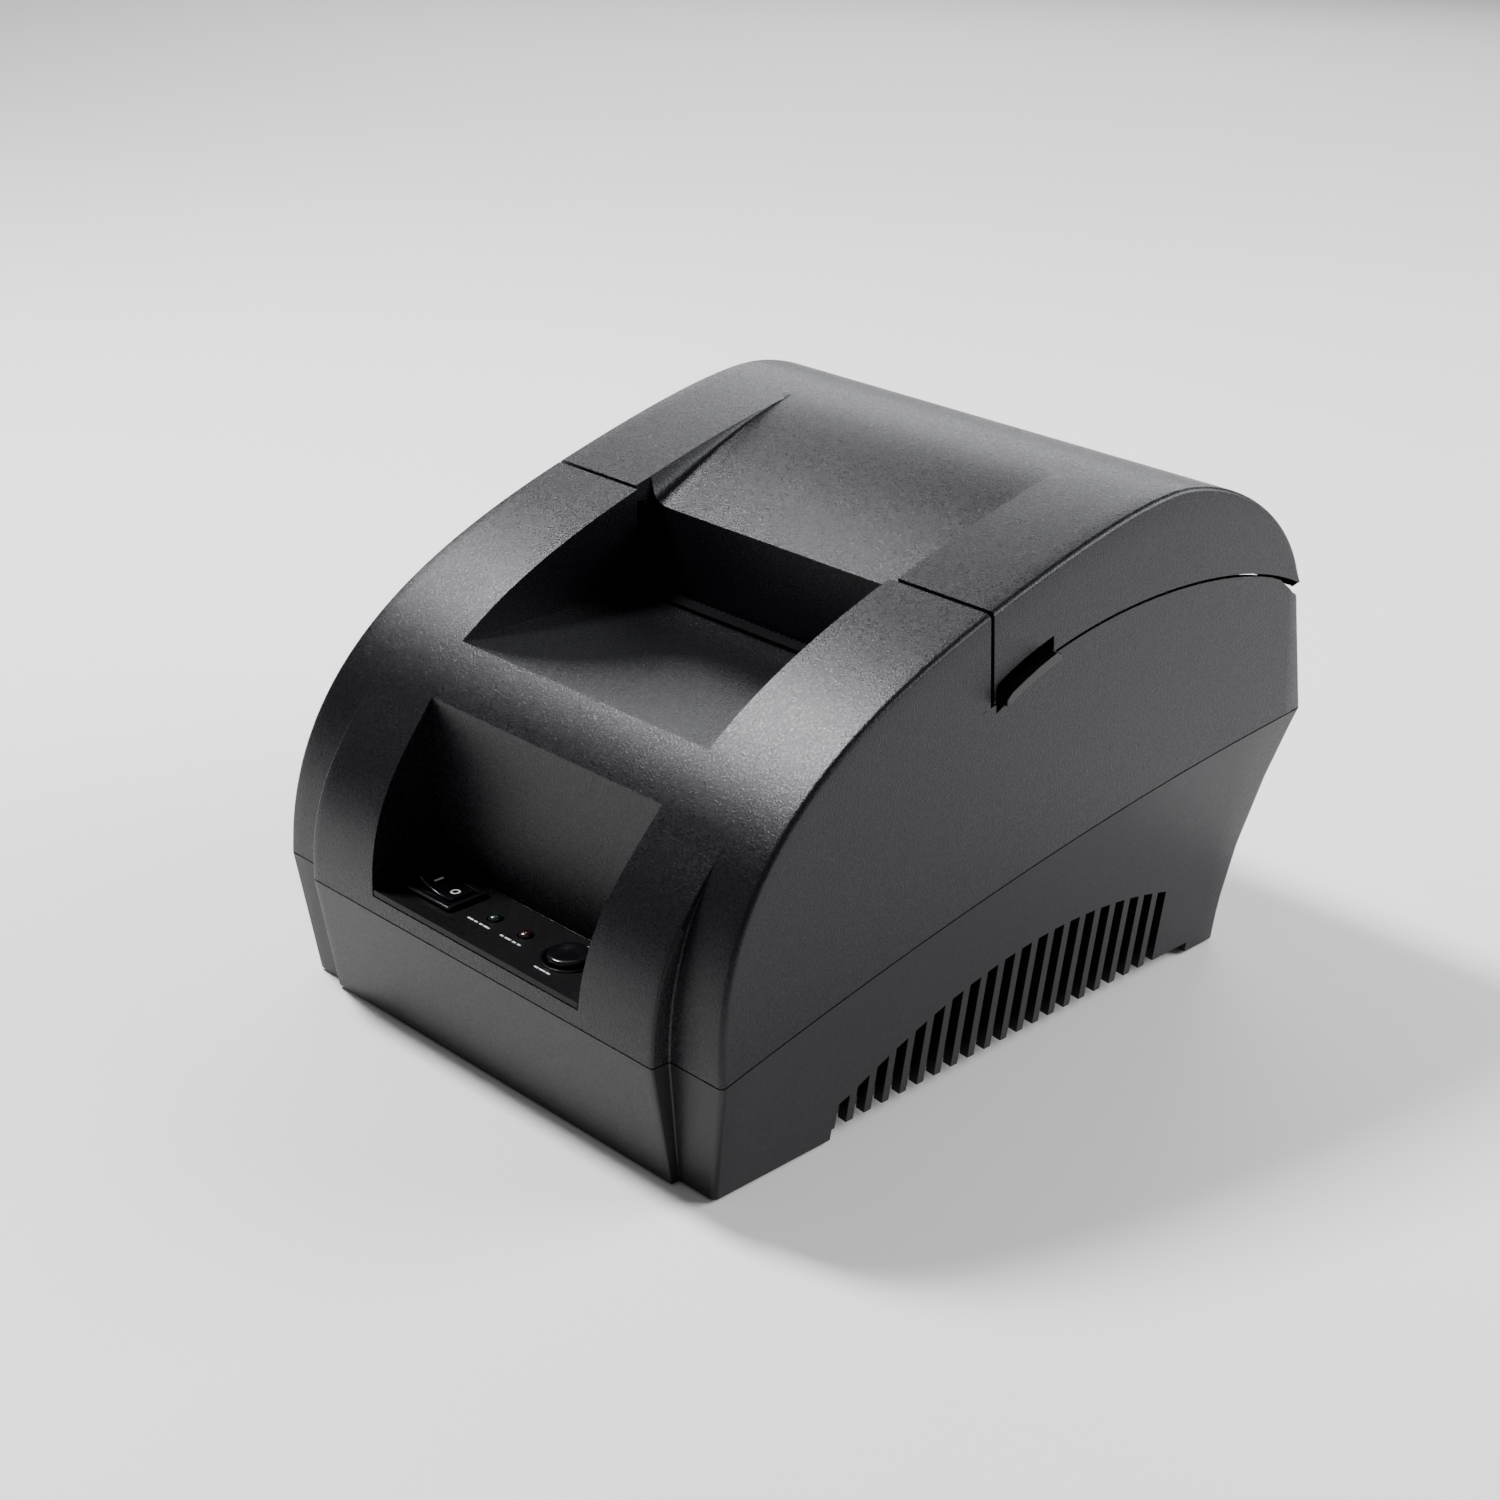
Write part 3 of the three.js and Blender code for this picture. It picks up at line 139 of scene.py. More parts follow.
# Half width below the seam: a straight line from the foot to the seam at the same place.
def baseHalf(y, z):
    seam = seamAt(y)
    return caseShape["footHalf"] + (upperHalf(y, seam) - caseShape["footHalf"]) * z / seam


# How far the bulge stands in front of the flank at a height: the space between their two curves.
def bulgeStep(z):
    flank = np.interp(z, frontDense[:, 1], frontDense[:, 0])
    bulge = np.interp(z, bulgeDense[:, 1], bulgeDense[:, 0])
    return np.clip(flank - bulge, 0, None) * (z < grooveTop)


# Share of the bulge left at a distance from the middle: one inside, a rounded corner, then a sharp step.
grooveX = np.array([50.5, 51.9, 52.2, 52.4, 52.5, 52.56, 52.62, 52.75, 53.0, 54.5])
grooveShare = np.array([1, 0.998, 0.985, 0.945, 0.88, 0.12, 0.06, 0.02, 0.004, 0])


# The share at a distance, read off the two lists.
def bulgeShare(x):
    return np.interp(x, grooveX, grooveShare)


# Faces of a grid of rows by columns; a mask of cells leaves openings.
def gridFaces(rows, cols, keep=None):
    first = np.arange(rows - 1)[:, None] * cols + np.arange(cols - 1)[None, :]
    quads = np.stack([first, first + 1, first + cols + 1, first + cols], axis=-1)
    if keep is not None:
        return quads[keep]
    return quads.reshape(-1, 4)


# Points whose x, y and z are numbers or lists of matching size.
def pointsAt(x, y, z):
    return np.stack(np.broadcast_arrays(x, y, z), axis=-1).astype(float)


# A grid turned so that its mean normal agrees with a hint.
def sheet(points, hint, keep=None):
    points = np.asarray(points, float)
    rows, cols = points.shape[:2]
    faces = gridFaces(rows, cols, keep)
    flat = points.reshape(-1, 3)
    a = flat[faces[:, 2]] - flat[faces[:, 0]]
    b = flat[faces[:, 3]] - flat[faces[:, 1]]
    normal = np.cross(a, b).sum(axis=0)
    if normal @ np.asarray(hint, float) < 0:
        faces = faces[:, ::-1]
    return flat, faces


# The same sheet on the other side: x changes sign and the faces turn round.
def mirrored(part):
    verts, faces = part
    return verts * np.array([-1.0, 1.0, 1.0]), [list(f)[::-1] for f in faces]


# An outline in y and z carried between two x places, closed at both ends.
def prism(outline, x0, x1):
    outline = np.asarray(outline, float)
    n = len(outline)
    verts = np.concatenate([np.column_stack([np.full(n, x), outline]) for x in (x0, x1)])
    around = np.arange(n)
    nextOne = (around + 1) % n
    sides = np.stack([around, around + n, nextOne + n, nextOne], axis=-1)
    faces = [list(map(int, f)) for f in sides]
    faces += [list(range(n)), list(range(2 * n - 1, n - 1, -1))]
    y, z = outline[:, 0], outline[:, 1]
    area = np.sum(y * np.roll(z, -1) - np.roll(y, -1) * z)
    if area > 0:
        faces = [f[::-1] for f in faces]
    return verts, faces


# A profile of radius against place, turned round a line parallel to an axis through a centre.
def lathe(profile, centre, axis, segments=64):
    profile = np.asarray(profile, float)
    angle = np.linspace(0, 2 * np.pi, segments, endpoint=False)
    along, radius = profile[:, 0], profile[:, 1]
    u = radius[:, None] * np.cos(angle)[None, :]
    v = radius[:, None] * np.sin(angle)[None, :]
    w = np.repeat(along[:, None], segments, axis=1)
    order = {"x": (w, u, v), "y": (v, w, u), "z": (u, v, w)}[axis]
    points = np.stack(order, axis=-1) + np.asarray(centre, float)
    rows = len(profile)
    ring = np.arange(segments)
    faces = []
    for r in range(rows - 1):
        a = r * segments + ring
        b = r * segments + (ring + 1) % segments
        faces.append(np.stack([a, a + segments, b + segments, b], axis=-1))
    return points.reshape(-1, 3), np.concatenate(faces)


# Rounded rectangles stacked along an axis: each level gives two half sizes, a corner radius and a place.
def loopStack(levels, centre, axis="z", segments=5, caps=(True, True)):
    quarter = np.linspace(0, np.pi / 2, segments + 1)
    angle = np.concatenate([quarter + k * np.pi / 2 for k in range(4)])
    signU = np.repeat([1, -1, -1, 1], segments + 1)
    signV = np.repeat([1, 1, -1, -1], segments + 1)
    rings = []
    for halfU, halfV, radius, place in levels:
        u = signU * (halfU - radius) + radius * np.cos(angle)
        v = signV * (halfV - radius) + radius * np.sin(angle)
        w = np.full(len(angle), place)
        order = {"x": (w, u, v), "y": (u, w, v), "z": (u, v, w)}[axis]
        rings.append(np.stack(order, axis=-1) + np.asarray(centre, float))
    n = len(angle)
    around = np.arange(n)
    faces = []
    for r in range(len(rings) - 1):
        a = r * n + around
        b = r * n + (around + 1) % n
        faces += np.stack([a, b, b + n, a + n], axis=-1).tolist()
    if caps[0]:
        faces.append(list(range(n))[::-1])
    if caps[1]:
        faces.append(list(range((len(rings) - 1) * n, len(rings) * n)))
    return np.concatenate(rings), faces


# A wound spring: a circle of wire carried along a helix about an axis, its ends pinched shut.
def coil(radius, wire, turns, low, high, centre, axis):
    steps = int(turns * 28)
    t = np.linspace(0, 1, steps)
    swing = 2 * np.pi * turns * t
    around = np.linspace(0, 2 * np.pi, 10, endpoint=False)
    pinch = np.clip(np.minimum(t, 1 - t) * steps / 2 + 0.02, 0, 1)
    reach = radius + wire * pinch[:, None] * np.cos(around)[None, :]
    along = (low + (high - low) * t)[:, None] + wire * pinch[:, None] * np.sin(around)[None, :]
    u = reach * np.cos(swing)[:, None]
    v = reach * np.sin(swing)[:, None]
    order = {"x": (along, u, v), "y": (v, along, u)}[axis]
    points = np.stack(order, axis=-1) + np.asarray(centre, float)
    a = (np.arange(steps - 1)[:, None] * 10 + np.arange(10)[None, :]).ravel()
    b = (np.arange(steps - 1)[:, None] * 10 + (np.arange(10)[None, :] + 1) % 10).ravel()
    faces = np.stack([a, b, b + 10, a + 10], axis=-1).tolist()
    faces += [list(range(10))[::-1], list(range((steps - 1) * 10, steps * 10))]
    return points.reshape(-1, 3), faces


# Points on a circle in y and z, from one angle in degrees to another.
def arcPoints(cy, cz, radius, start, end, count):
    angle = np.radians(np.linspace(start, end, count))
    return np.column_stack([cy + radius * np.cos(angle), cz + radius * np.sin(angle)])


# Parts in millimetres joined into one object in metres, with near vertices merged.
def makePiece(name, parts, body, material, replaced=(), smooth=40, closed=True):
    verts, faces, start = [], [], 0
    for partVerts, partFaces in parts:
        verts.append(np.asarray(partVerts, float))
        faces += [[int(i) + start for i in f] for f in partFaces]
        start += len(partVerts)
    mesh = bpy.data.meshes.new(name)
    mesh.from_pydata((np.concatenate(verts) * mm).tolist(), [], faces)
    bm = bmesh.new()
    bm.from_mesh(mesh)
    bmesh.ops.remove_doubles(bm, verts=bm.verts, dist=2e-6)
    bmesh.ops.dissolve_degenerate(bm, edges=bm.edges, dist=1e-6)
    if closed:
        bmesh.ops.recalc_face_normals(bm, faces=bm.faces)
    bm.to_mesh(mesh)
    bm.free()
    mesh.polygons.foreach_set("use_smooth", [True] * len(mesh.polygons))
    piece = bpy.data.objects.new(name, mesh)
    bpy.context.scene.collection.objects.link(piece)
    mesh.materials.append(material)
    mesh.set_sharp_from_angle(angle=math.radians(smooth))
    if replaced:
        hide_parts(*replaced)
    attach(piece, body)
    return piece


# A wall built inwards from the skin.
def thicken(piece, thickness):
    solid = piece.modifiers.new("wall", "SOLIDIFY")
    solid.thickness = thickness * mm
    solid.offset = -1
    solid.use_quality_normals = True
    solid.use_rim = True
    return solid


# Small rounds on every edge sharper than an angle.
def softenEdges(piece, width, segments=2, angle=38):
    bevel = piece.modifiers.new("edges", "BEVEL")
    bevel.width = width * mm
    bevel.segments = segments
    bevel.limit_method = "ANGLE"
    bevel.angle_limit = math.radians(angle)
    bevel.use_clamp_overlap = True
    bevel.harden_normals = True
    bevel.miter_outer = "MITER_SHARP"
    return bevel


# A new node material, with its tree, its main shader and the object coordinates.
def newMaterial(name):
    material = bpy.data.materials.new(name)
    material.use_nodes = True
    tree = material.node_tree
    shader = tree.nodes["Principled BSDF"]
    coords = tree.nodes.new("ShaderNodeTexCoord")
    return material, tree, shader, coords.outputs["Object"]


# Noise over the coordinates, whose detail sets how many finer layers are summed.
def addNoise(tree, coords, scale, detail=3.0, roughness=0.5):
    noise = tree.nodes.new("ShaderNodeTexNoise")
    noise.inputs["Scale"].default_value = scale
    noise.inputs["Detail"].default_value = detail
    noise.inputs["Roughness"].default_value = roughness
    tree.links.new(coords, noise.inputs["Vector"])
    return noise.outputs["Fac"]


# A value turned into a colour by straight lines between stops.
def addRamp(tree, value, stops):
    ramp = tree.nodes.new("ShaderNodeValToRGB")
    elements = ramp.color_ramp.elements
    while len(elements) < len(stops):
        elements.new(0.5)
    for element, (place, tone) in zip(elements, stops):
        element.position = place
        element.color = tone if len(tone) == 4 else (*tone, 1)
    tree.links.new(value, ramp.inputs["Fac"])
    return ramp.outputs["Color"]


# A value moved in a straight line from one span to another.
def addRange(tree, value, low, high, fromLow=0.0, fromHigh=1.0):
    spread = tree.nodes.new("ShaderNodeMapRange")
    spread.inputs["From Min"].default_value = fromLow
    spread.inputs["From Max"].default_value = fromHigh
    spread.inputs["To Min"].default_value = low
    spread.inputs["To Max"].default_value = high
    tree.links.new(value, spread.inputs["Value"])
    return spread.outputs["Result"]


# A bump whose slope is the height times the distance and the strength.
def addBump(tree, shader, height, distance, strength=1.0, after=None):
    bump = tree.nodes.new("ShaderNodeBump")
    bump.inputs["Distance"].default_value = distance
    bump.inputs["Strength"].default_value = strength
    tree.links.new(height, bump.inputs["Height"])
    if after is not None:
        tree.links.new(after, bump.inputs["Normal"])
    tree.links.new(bump.outputs["Normal"], shader.inputs["Normal"])
    return bump.outputs["Normal"]


# Colour and gloss joined to their inputs.
def dress(tree, shader, colour, gloss):
    tree.links.new(colour, shader.inputs["Base Color"])
    tree.links.new(gloss, shader.inputs["Roughness"])


# Moulded plastic: a fine pebbled grain over a slower swell, with uneven gloss.
def mouldedPlastic(name, colour, roughness, grain, depth, specular=0.5):
    material, tree, shader, coords = newMaterial(name)
    patchy = addNoise(tree, coords, 55, 3)
    dark = tuple(c * 0.92 for c in colour)
    light = tuple(min(1.0, c * 1.08) for c in colour)
    pebbles = addNoise(tree, coords, 1 / (grain * mm), 2.5, 0.6)
    gloss = addNoise(tree, coords, 0.6 / (grain * mm), 2, 0.6)
    dress(
        tree, shader, addRamp(tree, patchy, [(0.3, dark), (0.7, light)]),
        addRange(tree, gloss, roughness - 0.07, roughness + 0.07, 0.3, 0.7),
    )
    shader.inputs["Specular IOR Level"].default_value = specular
    swell = addBump(tree, shader, patchy, 0.00006, 0.4)
    addBump(tree, shader, pebbles, depth * mm, 1.0, swell)
    return material


# Metal with drawn lines: noise stretched along one direction drives colour, gloss and a shallow bump.
def drawnMetal(name, colour, roughness, stretch):
    material, tree, shader, coords = newMaterial(name)
    mapping = tree.nodes.new("ShaderNodeMapping")
    mapping.inputs["Scale"].default_value = stretch
    tree.links.new(coords, mapping.inputs["Vector"])
    lines = addNoise(tree, mapping.outputs["Vector"], 900, 3)
    dark = tuple(c * 0.8 for c in colour)
    dress(
        tree, shader, addRamp(tree, lines, [(0.3, dark), (0.75, colour)]),
        addRange(tree, lines, roughness - 0.06, roughness + 0.1),
    )
    shader.inputs["Metallic"].default_value = 1.0
    addBump(tree, shader, lines, 0.00002, 0.5)
    return material


# Rows of short bars: a brick pattern whose mortar keeps the ground colour.
def addBars(tree, coords, size, gapShare, ground, ink):
    bricks = tree.nodes.new("ShaderNodeTexBrick")
    bricks.offset = 0.37
    bricks.squash = 0.6
    bricks.squash_frequency = 3
    bricks.inputs["Scale"].default_value = 1.0
    bricks.inputs["Brick Width"].default_value = size[0] * mm
    bricks.inputs["Row Height"].default_value = size[1] * mm
    bricks.inputs["Mortar Size"].default_value = gapShare * mm
    bricks.inputs["Mortar Smooth"].default_value = 0.1
    bricks.inputs["Color1"].default_value = (*ink, 1)
    bricks.inputs["Color2"].default_value = (*tuple(min(1.0, c * 1.6 + 0.03) for c in ink), 1)
    bricks.inputs["Mortar"].default_value = (*ground, 1)
    tree.links.new(coords, bricks.inputs["Vector"])
    return bricks.outputs["Color"]


# Two colours mixed by a factor that may be a socket.
def addMix(tree, factor, first, second, blend="MIX"):
    mix = tree.nodes.new("ShaderNodeMix")
    mix.data_type = "RGBA"
    mix.blend_type = blend
    for name, value in (("A", first), ("B", second)):
        socket = next(s for s in mix.inputs if s.name == name and s.type == "RGBA")
        if isinstance(value, tuple):
            socket.default_value = (*value, 1)
        else:
            tree.links.new(value, socket)
    if isinstance(factor, float):
        mix.inputs[0].default_value = factor
    else:
        tree.links.new(factor, mix.inputs[0])
    return next(s for s in mix.outputs if s.type == "RGBA")


# Board: green mask over straight copper runs, which stand a little proud.
def boardMask():
    material, tree, shader, coords = newMaterial("boardMask")
    runs = addBars(tree, coords, (7.0, 1.3), 0.22, (0.028, 0.16, 0.075), (0.012, 0.085, 0.04))
    mottle = addNoise(tree, coords, 260, 3)
    tint = addRamp(tree, mottle, [(0.3, (0.85, 0.9, 0.85)), (0.7, (1, 1, 1))])
    dress(tree, shader, addMix(tree, 1.0, runs, tint, "MULTIPLY"), addRange(tree, mottle, 0.24, 0.4))
    addBump(tree, shader, runs, 0.00003, 0.6)
    return material


# Thermal paper: soft fibres, with rows of grey bars read from the coordinates laid on the roll.
def thermalPaper(name, printed):
    material, tree, shader, coords = newMaterial(name)
    fibres = addNoise(tree, coords, 1500, 4, 0.6)
    tone = addRamp(tree, fibres, [(0.3, (0.74, 0.73, 0.70)), (0.7, (0.84, 0.83, 0.81))])
    if printed:
        laid = tree.nodes.new("ShaderNodeAttribute")
        laid.attribute_name = "laid"
        bars = addBars(tree, laid.outputs["Vector"], (4.2, 3.4), 1.25, (1.0, 1.0, 1.0), (0.16, 0.16, 0.19))
        split = tree.nodes.new("ShaderNodeSeparateXYZ")
        tree.links.new(laid.outputs["Vector"], split.inputs["Vector"])
        band = addRange(tree, split.outputs["Z"], 0.0, 1.0, 0.4, 0.6)
        tone = addMix(tree, band, tone, addMix(tree, 1.0, tone, bars, "MULTIPLY"))
    dress(tree, shader, tone, addRange(tree, fibres, 0.62, 0.8))
    addBump(tree, shader, fibres, 0.00002, 0.6)
    return material


# Wound board: brown fibres and slanted joins between the turns.
def woundBoard():
    material, tree, shader, coords = newMaterial("woundBoard")
    wave = tree.nodes.new("ShaderNodeTexWave")
    wave.inputs["Scale"].default_value = 60
    wave.inputs["Distortion"].default_value = 1.2
    tree.links.new(coords, wave.inputs["Vector"])
    fibres = addNoise(tree, coords, 900, 5, 0.65)
    joins = addRamp(tree, wave.outputs["Fac"], [(0.0, (0.30, 0.20, 0.11)), (0.12, (0.46, 0.33, 0.20))])
    tint = addRamp(tree, fibres, [(0.3, (0.8, 0.8, 0.8)), (0.7, (1, 1, 1))])
    dress(tree, shader, addMix(tree, 1.0, joins, tint, "MULTIPLY"), addRange(tree, fibres, 0.75, 0.95))
    addBump(tree, shader, fibres, 0.00004, 0.7)
    return material


# Silver sticker: brushed sheen under rows of dark bars.
def silverSticker():
    material, tree, shader, coords = newMaterial("silverSticker")
    bars = addBars(tree, coords, (3.4, 1.9), 0.62, (0.62, 0.63, 0.65), (0.10, 0.10, 0.11))
    sheen = addNoise(tree, coords, 420, 4)
    tint = addRamp(tree, sheen, [(0.3, (0.86, 0.86, 0.87)), (0.7, (1, 1, 1))])
    shader.inputs["Metallic"].default_value = 0.45
    dress(tree, shader, addMix(tree, 1.0, bars, tint, "MULTIPLY"), addRange(tree, sheen, 0.28, 0.42))
    addBump(tree, shader, sheen, 0.00001, 0.5)
    return material


# Tinted lens: cloudy resin that lets some light through.
def tintedLens(name, colour):
    material, tree, shader, coords = newMaterial(name)
    cloud = addNoise(tree, coords, 700, 3)
    dark = tuple(c * 0.7 for c in colour)
    dress(tree, shader, addRamp(tree, cloud, [(0.3, dark), (0.7, colour)]), addRange(tree, cloud, 0.12, 0.24))
    shader.inputs["Transmission Weight"].default_value = 0.35
    return material


texturedBlack = mouldedPlastic("texturedBlack", (0.0030, 0.0030, 0.0046), 0.29, 0.34, 0.095, 0.27)
baseBlack = mouldedPlastic("baseBlack", (0.0042, 0.0042, 0.0054), 0.38, 0.32, 0.04, 0.27)
innerBlack = mouldedPlastic("innerBlack", (0.0034, 0.0034, 0.0040), 0.38, 0.6, 0.03, 0.2)
panelBlack = mouldedPlastic("panelBlack", (0.0022, 0.0022, 0.0026), 0.34, 0.3, 0.02, 0.14)
polishedBlack = mouldedPlastic("polishedBlack", (0.0022, 0.0022, 0.003), 0.17, 1.5, 0.004, 0.3)
platenRubber = mouldedPlastic("platenRubber", (0.016, 0.016, 0.017), 0.66, 0.25, 0.05, 0.3)
footRubber = mouldedPlastic("footRubber", (0.020, 0.020, 0.020), 0.78, 0.5, 0.08, 0.25)
nylonWhite = mouldedPlastic("nylonWhite", (0.70, 0.67, 0.58), 0.42, 0.8, 0.02, 0.5)
markWhite = mouldedPlastic("markWhite", (0.62, 0.62, 0.61), 0.5, 0.2, 0.01, 0.4)
ceramic = mouldedPlastic("ceramic", (0.30, 0.18, 0.095), 0.22, 0.9, 0.01, 0.5)
brightSteel = drawnMetal("brightSteel", (0.60, 0.61, 0.62), 0.26, (1, 14, 14))
darkSteel = drawnMetal("darkSteel", (0.13, 0.13, 0.14), 0.34, (1, 10, 10))
# Steel darkened far below bare steel to paint the shade that the lid's lip casts on the tear bar: partly the bar's own
# dark steel, partly painted shade.
shadeDarkenedSteel = drawnMetal("shadeDarkenedSteel", (0.006, 0.006, 0.007), 0.5, (1, 10, 10))
castAluminium = drawnMetal("castAluminium", (0.66, 0.67, 0.68), 0.36, (1, 6, 6))
contactGold = drawnMetal("contactGold", (0.72, 0.50, 0.20), 0.28, (6, 1, 6))
boardGreen = boardMask()
printedPaper = thermalPaper("printedPaper", True)
plainPaper = thermalPaper("plainPaper", False)
cardboard = woundBoard()
stickerSilver = silverSticker()
greenLens = tintedLens("greenLens", (0.004, 0.016, 0.006))
redLens = tintedLens("redLens", (0.020, 0.004, 0.003))
print("finishes made")

roundAngles = np.radians([0, 14, 30, 47, 64, 78, 90])


# Points round the long edge: out by the sine and down by one minus the cosine of the angle.
def edgeColumns(profileY, profileZ, direction, radius, half):
    out = []
    for a in roundAngles:
        depth = radius * (1 - np.cos(a))
        y = profileY + direction[:, 0] * depth
        z = profileZ + direction[:, 1] * depth
        x = half(y, z) - radius * (1 - np.sin(a))
        out.append(np.stack([x, y, z], axis=-1))
    return np.stack(out, axis=1)


# Inward directions of a profile: its tangent turned a quarter.
def inwardDirections(y, z):
    dy, dz = np.gradient(y), np.gradient(z)
    size = np.hypot(dy, dz)
    return np.stack([dz / size, -dy / size], axis=-1)


# Directions blended with a target by a share that grows along the rows, then made unit length.
def easedTo(directions, target, rows):
    share = np.clip(np.arange(len(directions)) / rows, 0, 1)[:, None]
    mixed = np.asarray(target, float) * (1 - share) + directions * share
    return mixed / np.linalg.norm(mixed, axis=1)[:, None]


# A number list cleared of near repeats, with fixed places kept exactly.
def withStops(values, stops, near):
    kept = [v for v in values if min(abs(v - s) for s in stops) > near]
    return np.array(sorted(kept + list(stops)))


endY = lidFrontY - caseShape["lidGap"]
endZ = float(np.interp(endY, frontDense[:, 0], frontDense[:, 1]))
steepZ = withStops(np.linspace(30, 88, 44), [27.7, caseShape["recessFloor"], windowTopZ, chuteZ], 0.5)
steepY = np.interp(steepZ, frontDense[:, 1], frontDense[:, 0])
shallowY = np.linspace(np.interp(88, frontDense[:, 1], frontDense[:, 0]), endY, 22)[1:]
shallowZ = np.interp(shallowY, frontDense[:, 0], frontDense[:, 1])
rowY = np.concatenate([steepY, shallowY])
rowZ = np.concatenate([steepZ, shallowZ])
rowDirection = easedTo(inwardDirections(rowY, rowZ)[::-1], (0, -1), 5)[::-1]
rowDirection[0] = (1, 0)
edgeRound = caseShape["edgeRound"]
windowShare = np.clip((rowZ - caseShape["recessFloor"]) / (windowTopZ + 6 - caseShape["recessFloor"]), 0, 1)
recessHalf = caseShape["windowFootHalf"] + 3.2 * windowShare
aboveWindow = np.clip((rowZ - windowTopZ) / (chuteZ - windowTopZ), 0, 1)
recessHalf = np.where(rowZ > windowTopZ, recessHalf + (caseShape["chuteHalf"] - recessHalf) * aboveWindow, recessHalf)
floorRow = int(np.argmin(abs(rowZ - caseShape["recessFloor"])))
windowRow = int(np.argmin(abs(rowZ - windowTopZ)))
chuteRow = int(np.argmin(abs(rowZ - chuteZ)))

edge = edgeColumns(rowY, rowZ, rowDirection, edgeRound, upperHalf)
outerX = [recessHalf]
for share in (0.3, 0.65):
    outerX.append(recessHalf + (grooveX[0] - recessHalf) * share)
outerX += [np.full(len(rowY), x) for x in grooveX]
for share in (0.35, 0.7):
    outerX.append(grooveX[-1] + (edge[:, 0, 0] - grooveX[-1]) * share)
outerX = np.stack(outerX, axis=1)
step = bulgeStep(rowZ)


# Points on the front: the flank line less the bulge step times the share at that distance.
def onFront(x):
    return pointsAt(x, rowY[:, None] - step[:, None] * bulgeShare(x), rowZ[:, None])


outer = np.concatenate([onFront(outerX), edge], axis=1)
outer[0, :, 2] = np.maximum(outer[0, :, 2], seamAt(np.maximum(outer[0, :, 1], noseY)) + gap)
middleShares = np.linspace(0, 1, 9)
middle = onFront(recessHalf[:, None] * middleShares[None, :])
upperParts = [
    sheet(outer, (0, -1, 1)),
    sheet(middle[: floorRow + 1], (0, -1, 0)),
    sheet(middle[windowRow : chuteRow + 1], (0, -1, 1)),
]

# Control recess: side wall, back wall and floor
wallRows = slice(floorRow, windowRow + 1)
frontEdge = outer[wallRows, 0]
backEdge = frontEdge.copy()
backEdge[:, 1] = caseShape["panelBack"]
shares = np.linspace(0, 1, 4)[None, :, None]
upperParts.append(sheet(frontEdge[:, None] * (1 - shares) + backEdge[:, None] * shares, (-1, 0, 0)))
backWall = backEdge[:, None] * np.ones((1, 9, 1))
backWall[:, :, 0] *= middleShares
upperParts.append(sheet(backWall, (0, -1, 0)))
floorFront = middle[floorRow]
floorBack = floorFront.copy()
floorBack[:, 1] = caseShape["panelBack"]
ledgeShares = np.array([0, 0.2, 0.85, 1])[:, None, None]
keep = np.ones((3, len(middleShares) - 1), bool)
keep[1] = False  # open under the panel, so that the switch, lights and button pass through
upperParts.append(sheet(floorFront[None] * (1 - ledgeShares) + floorBack[None] * ledgeShares, (0, 0, 1), keep))

# Paper chute: side wall, floor and the sill behind it
levels = np.concatenate([np.linspace(endZ, 81.5, 5), [chuteZ]])
levelShares = (endZ - levels) / (endZ - chuteZ)
topEdge = outer[chuteRow:, 0]
chuteWall = np.repeat(topEdge[:, None], len(levels), axis=1)
chuteWall[:, :, 2] += (chuteZ - topEdge[:, 2])[:, None] * levelShares[None, :]
upperParts.append(sheet(chuteWall, (-1, 0, 0)))
floorY = np.concatenate([rowY[chuteRow:], [caseShape["sillBack"]]])
chuteFloor = pointsAt(caseShape["chuteHalf"] * middleShares[None, :], floorY[:, None], chuteZ)
upperParts.append(sheet(chuteFloor, (0, 0, 1)))

# Wall that faces the lid
lastRow = outer[-1]
facing = []
for z in levels[:-1]:
    share = (endZ - z) / (endZ - 81.5)
    line = lastRow.copy()
    line[:, 2] = lastRow[:, 2] + (81.5 - lastRow[:, 2]) * share
    line[-1, 0] = upperHalf(endY, line[-1, 2])
    facing.append(line)
for z in (chuteZ, 76.0):
    line = lastRow.copy()
    line[:, 2] = z
    line[:, 0] = np.minimum(line[:, 0], upperHalf(endY, z) - 2.6)
    facing.append(line)
upperParts.append(sheet(np.array(facing), (0, 1, 0)))

# Side skin from the long edge down to the seam
sideTop = outer[:, -1]
travel = np.concatenate([[0], np.cumsum(np.hypot(np.diff(sideTop[:, 1]), np.diff(sideTop[:, 2])))])
seamY = sideTop[0, 1] + (endY - sideTop[0, 1]) * travel / travel[-1]
seamZ = seamAt(seamY) + gap
edgeZ = float(lidEdgeAt(lidFrontY)) - 0.6
beltDrops = np.array([0, 1.9, 4.5, 9.0])
endSeam = seamZ[-1]
beltRest = np.linspace(edgeZ - 9.0, endSeam, 6)[1:]
sideLevels = np.concatenate([
    [sideTop[-1, 2]],
    lastRow[-1, 2] + (81.5 - lastRow[-1, 2]) * (endZ - levels[1:-2]) / (endZ - 81.5),
    edgeZ - beltDrops,
    beltRest,
])
sideShares = (sideTop[-1, 2] - sideLevels) / (sideTop[-1, 2] - endSeam)
sideY = sideTop[:, None, 1] + (seamY - sideTop[:, 1])[:, None] * sideShares
sideZ = sideTop[:, None, 2] + (seamZ - sideTop[:, 2])[:, None] * sideShares
sideSkin = np.stack([upperHalf(sideY, sideZ), sideY, sideZ], axis=-1)
upperParts.append(sheet(sideSkin, (1, 0, 0)))

# Belt behind the lid's front: along the side, round the back corner and across the back
caseBack = {"earInner": 45.3, "earOuter": 51.7, "earFloor": 72.6, "topZ": 81.2, "cornerRound": 2.3}


# Place of the back wall at a height: a straight line between its top and the seam.
def backWallY(z):
    return backTopY + (backTopZ - z) / (backTopZ - seamBack) * 3.1


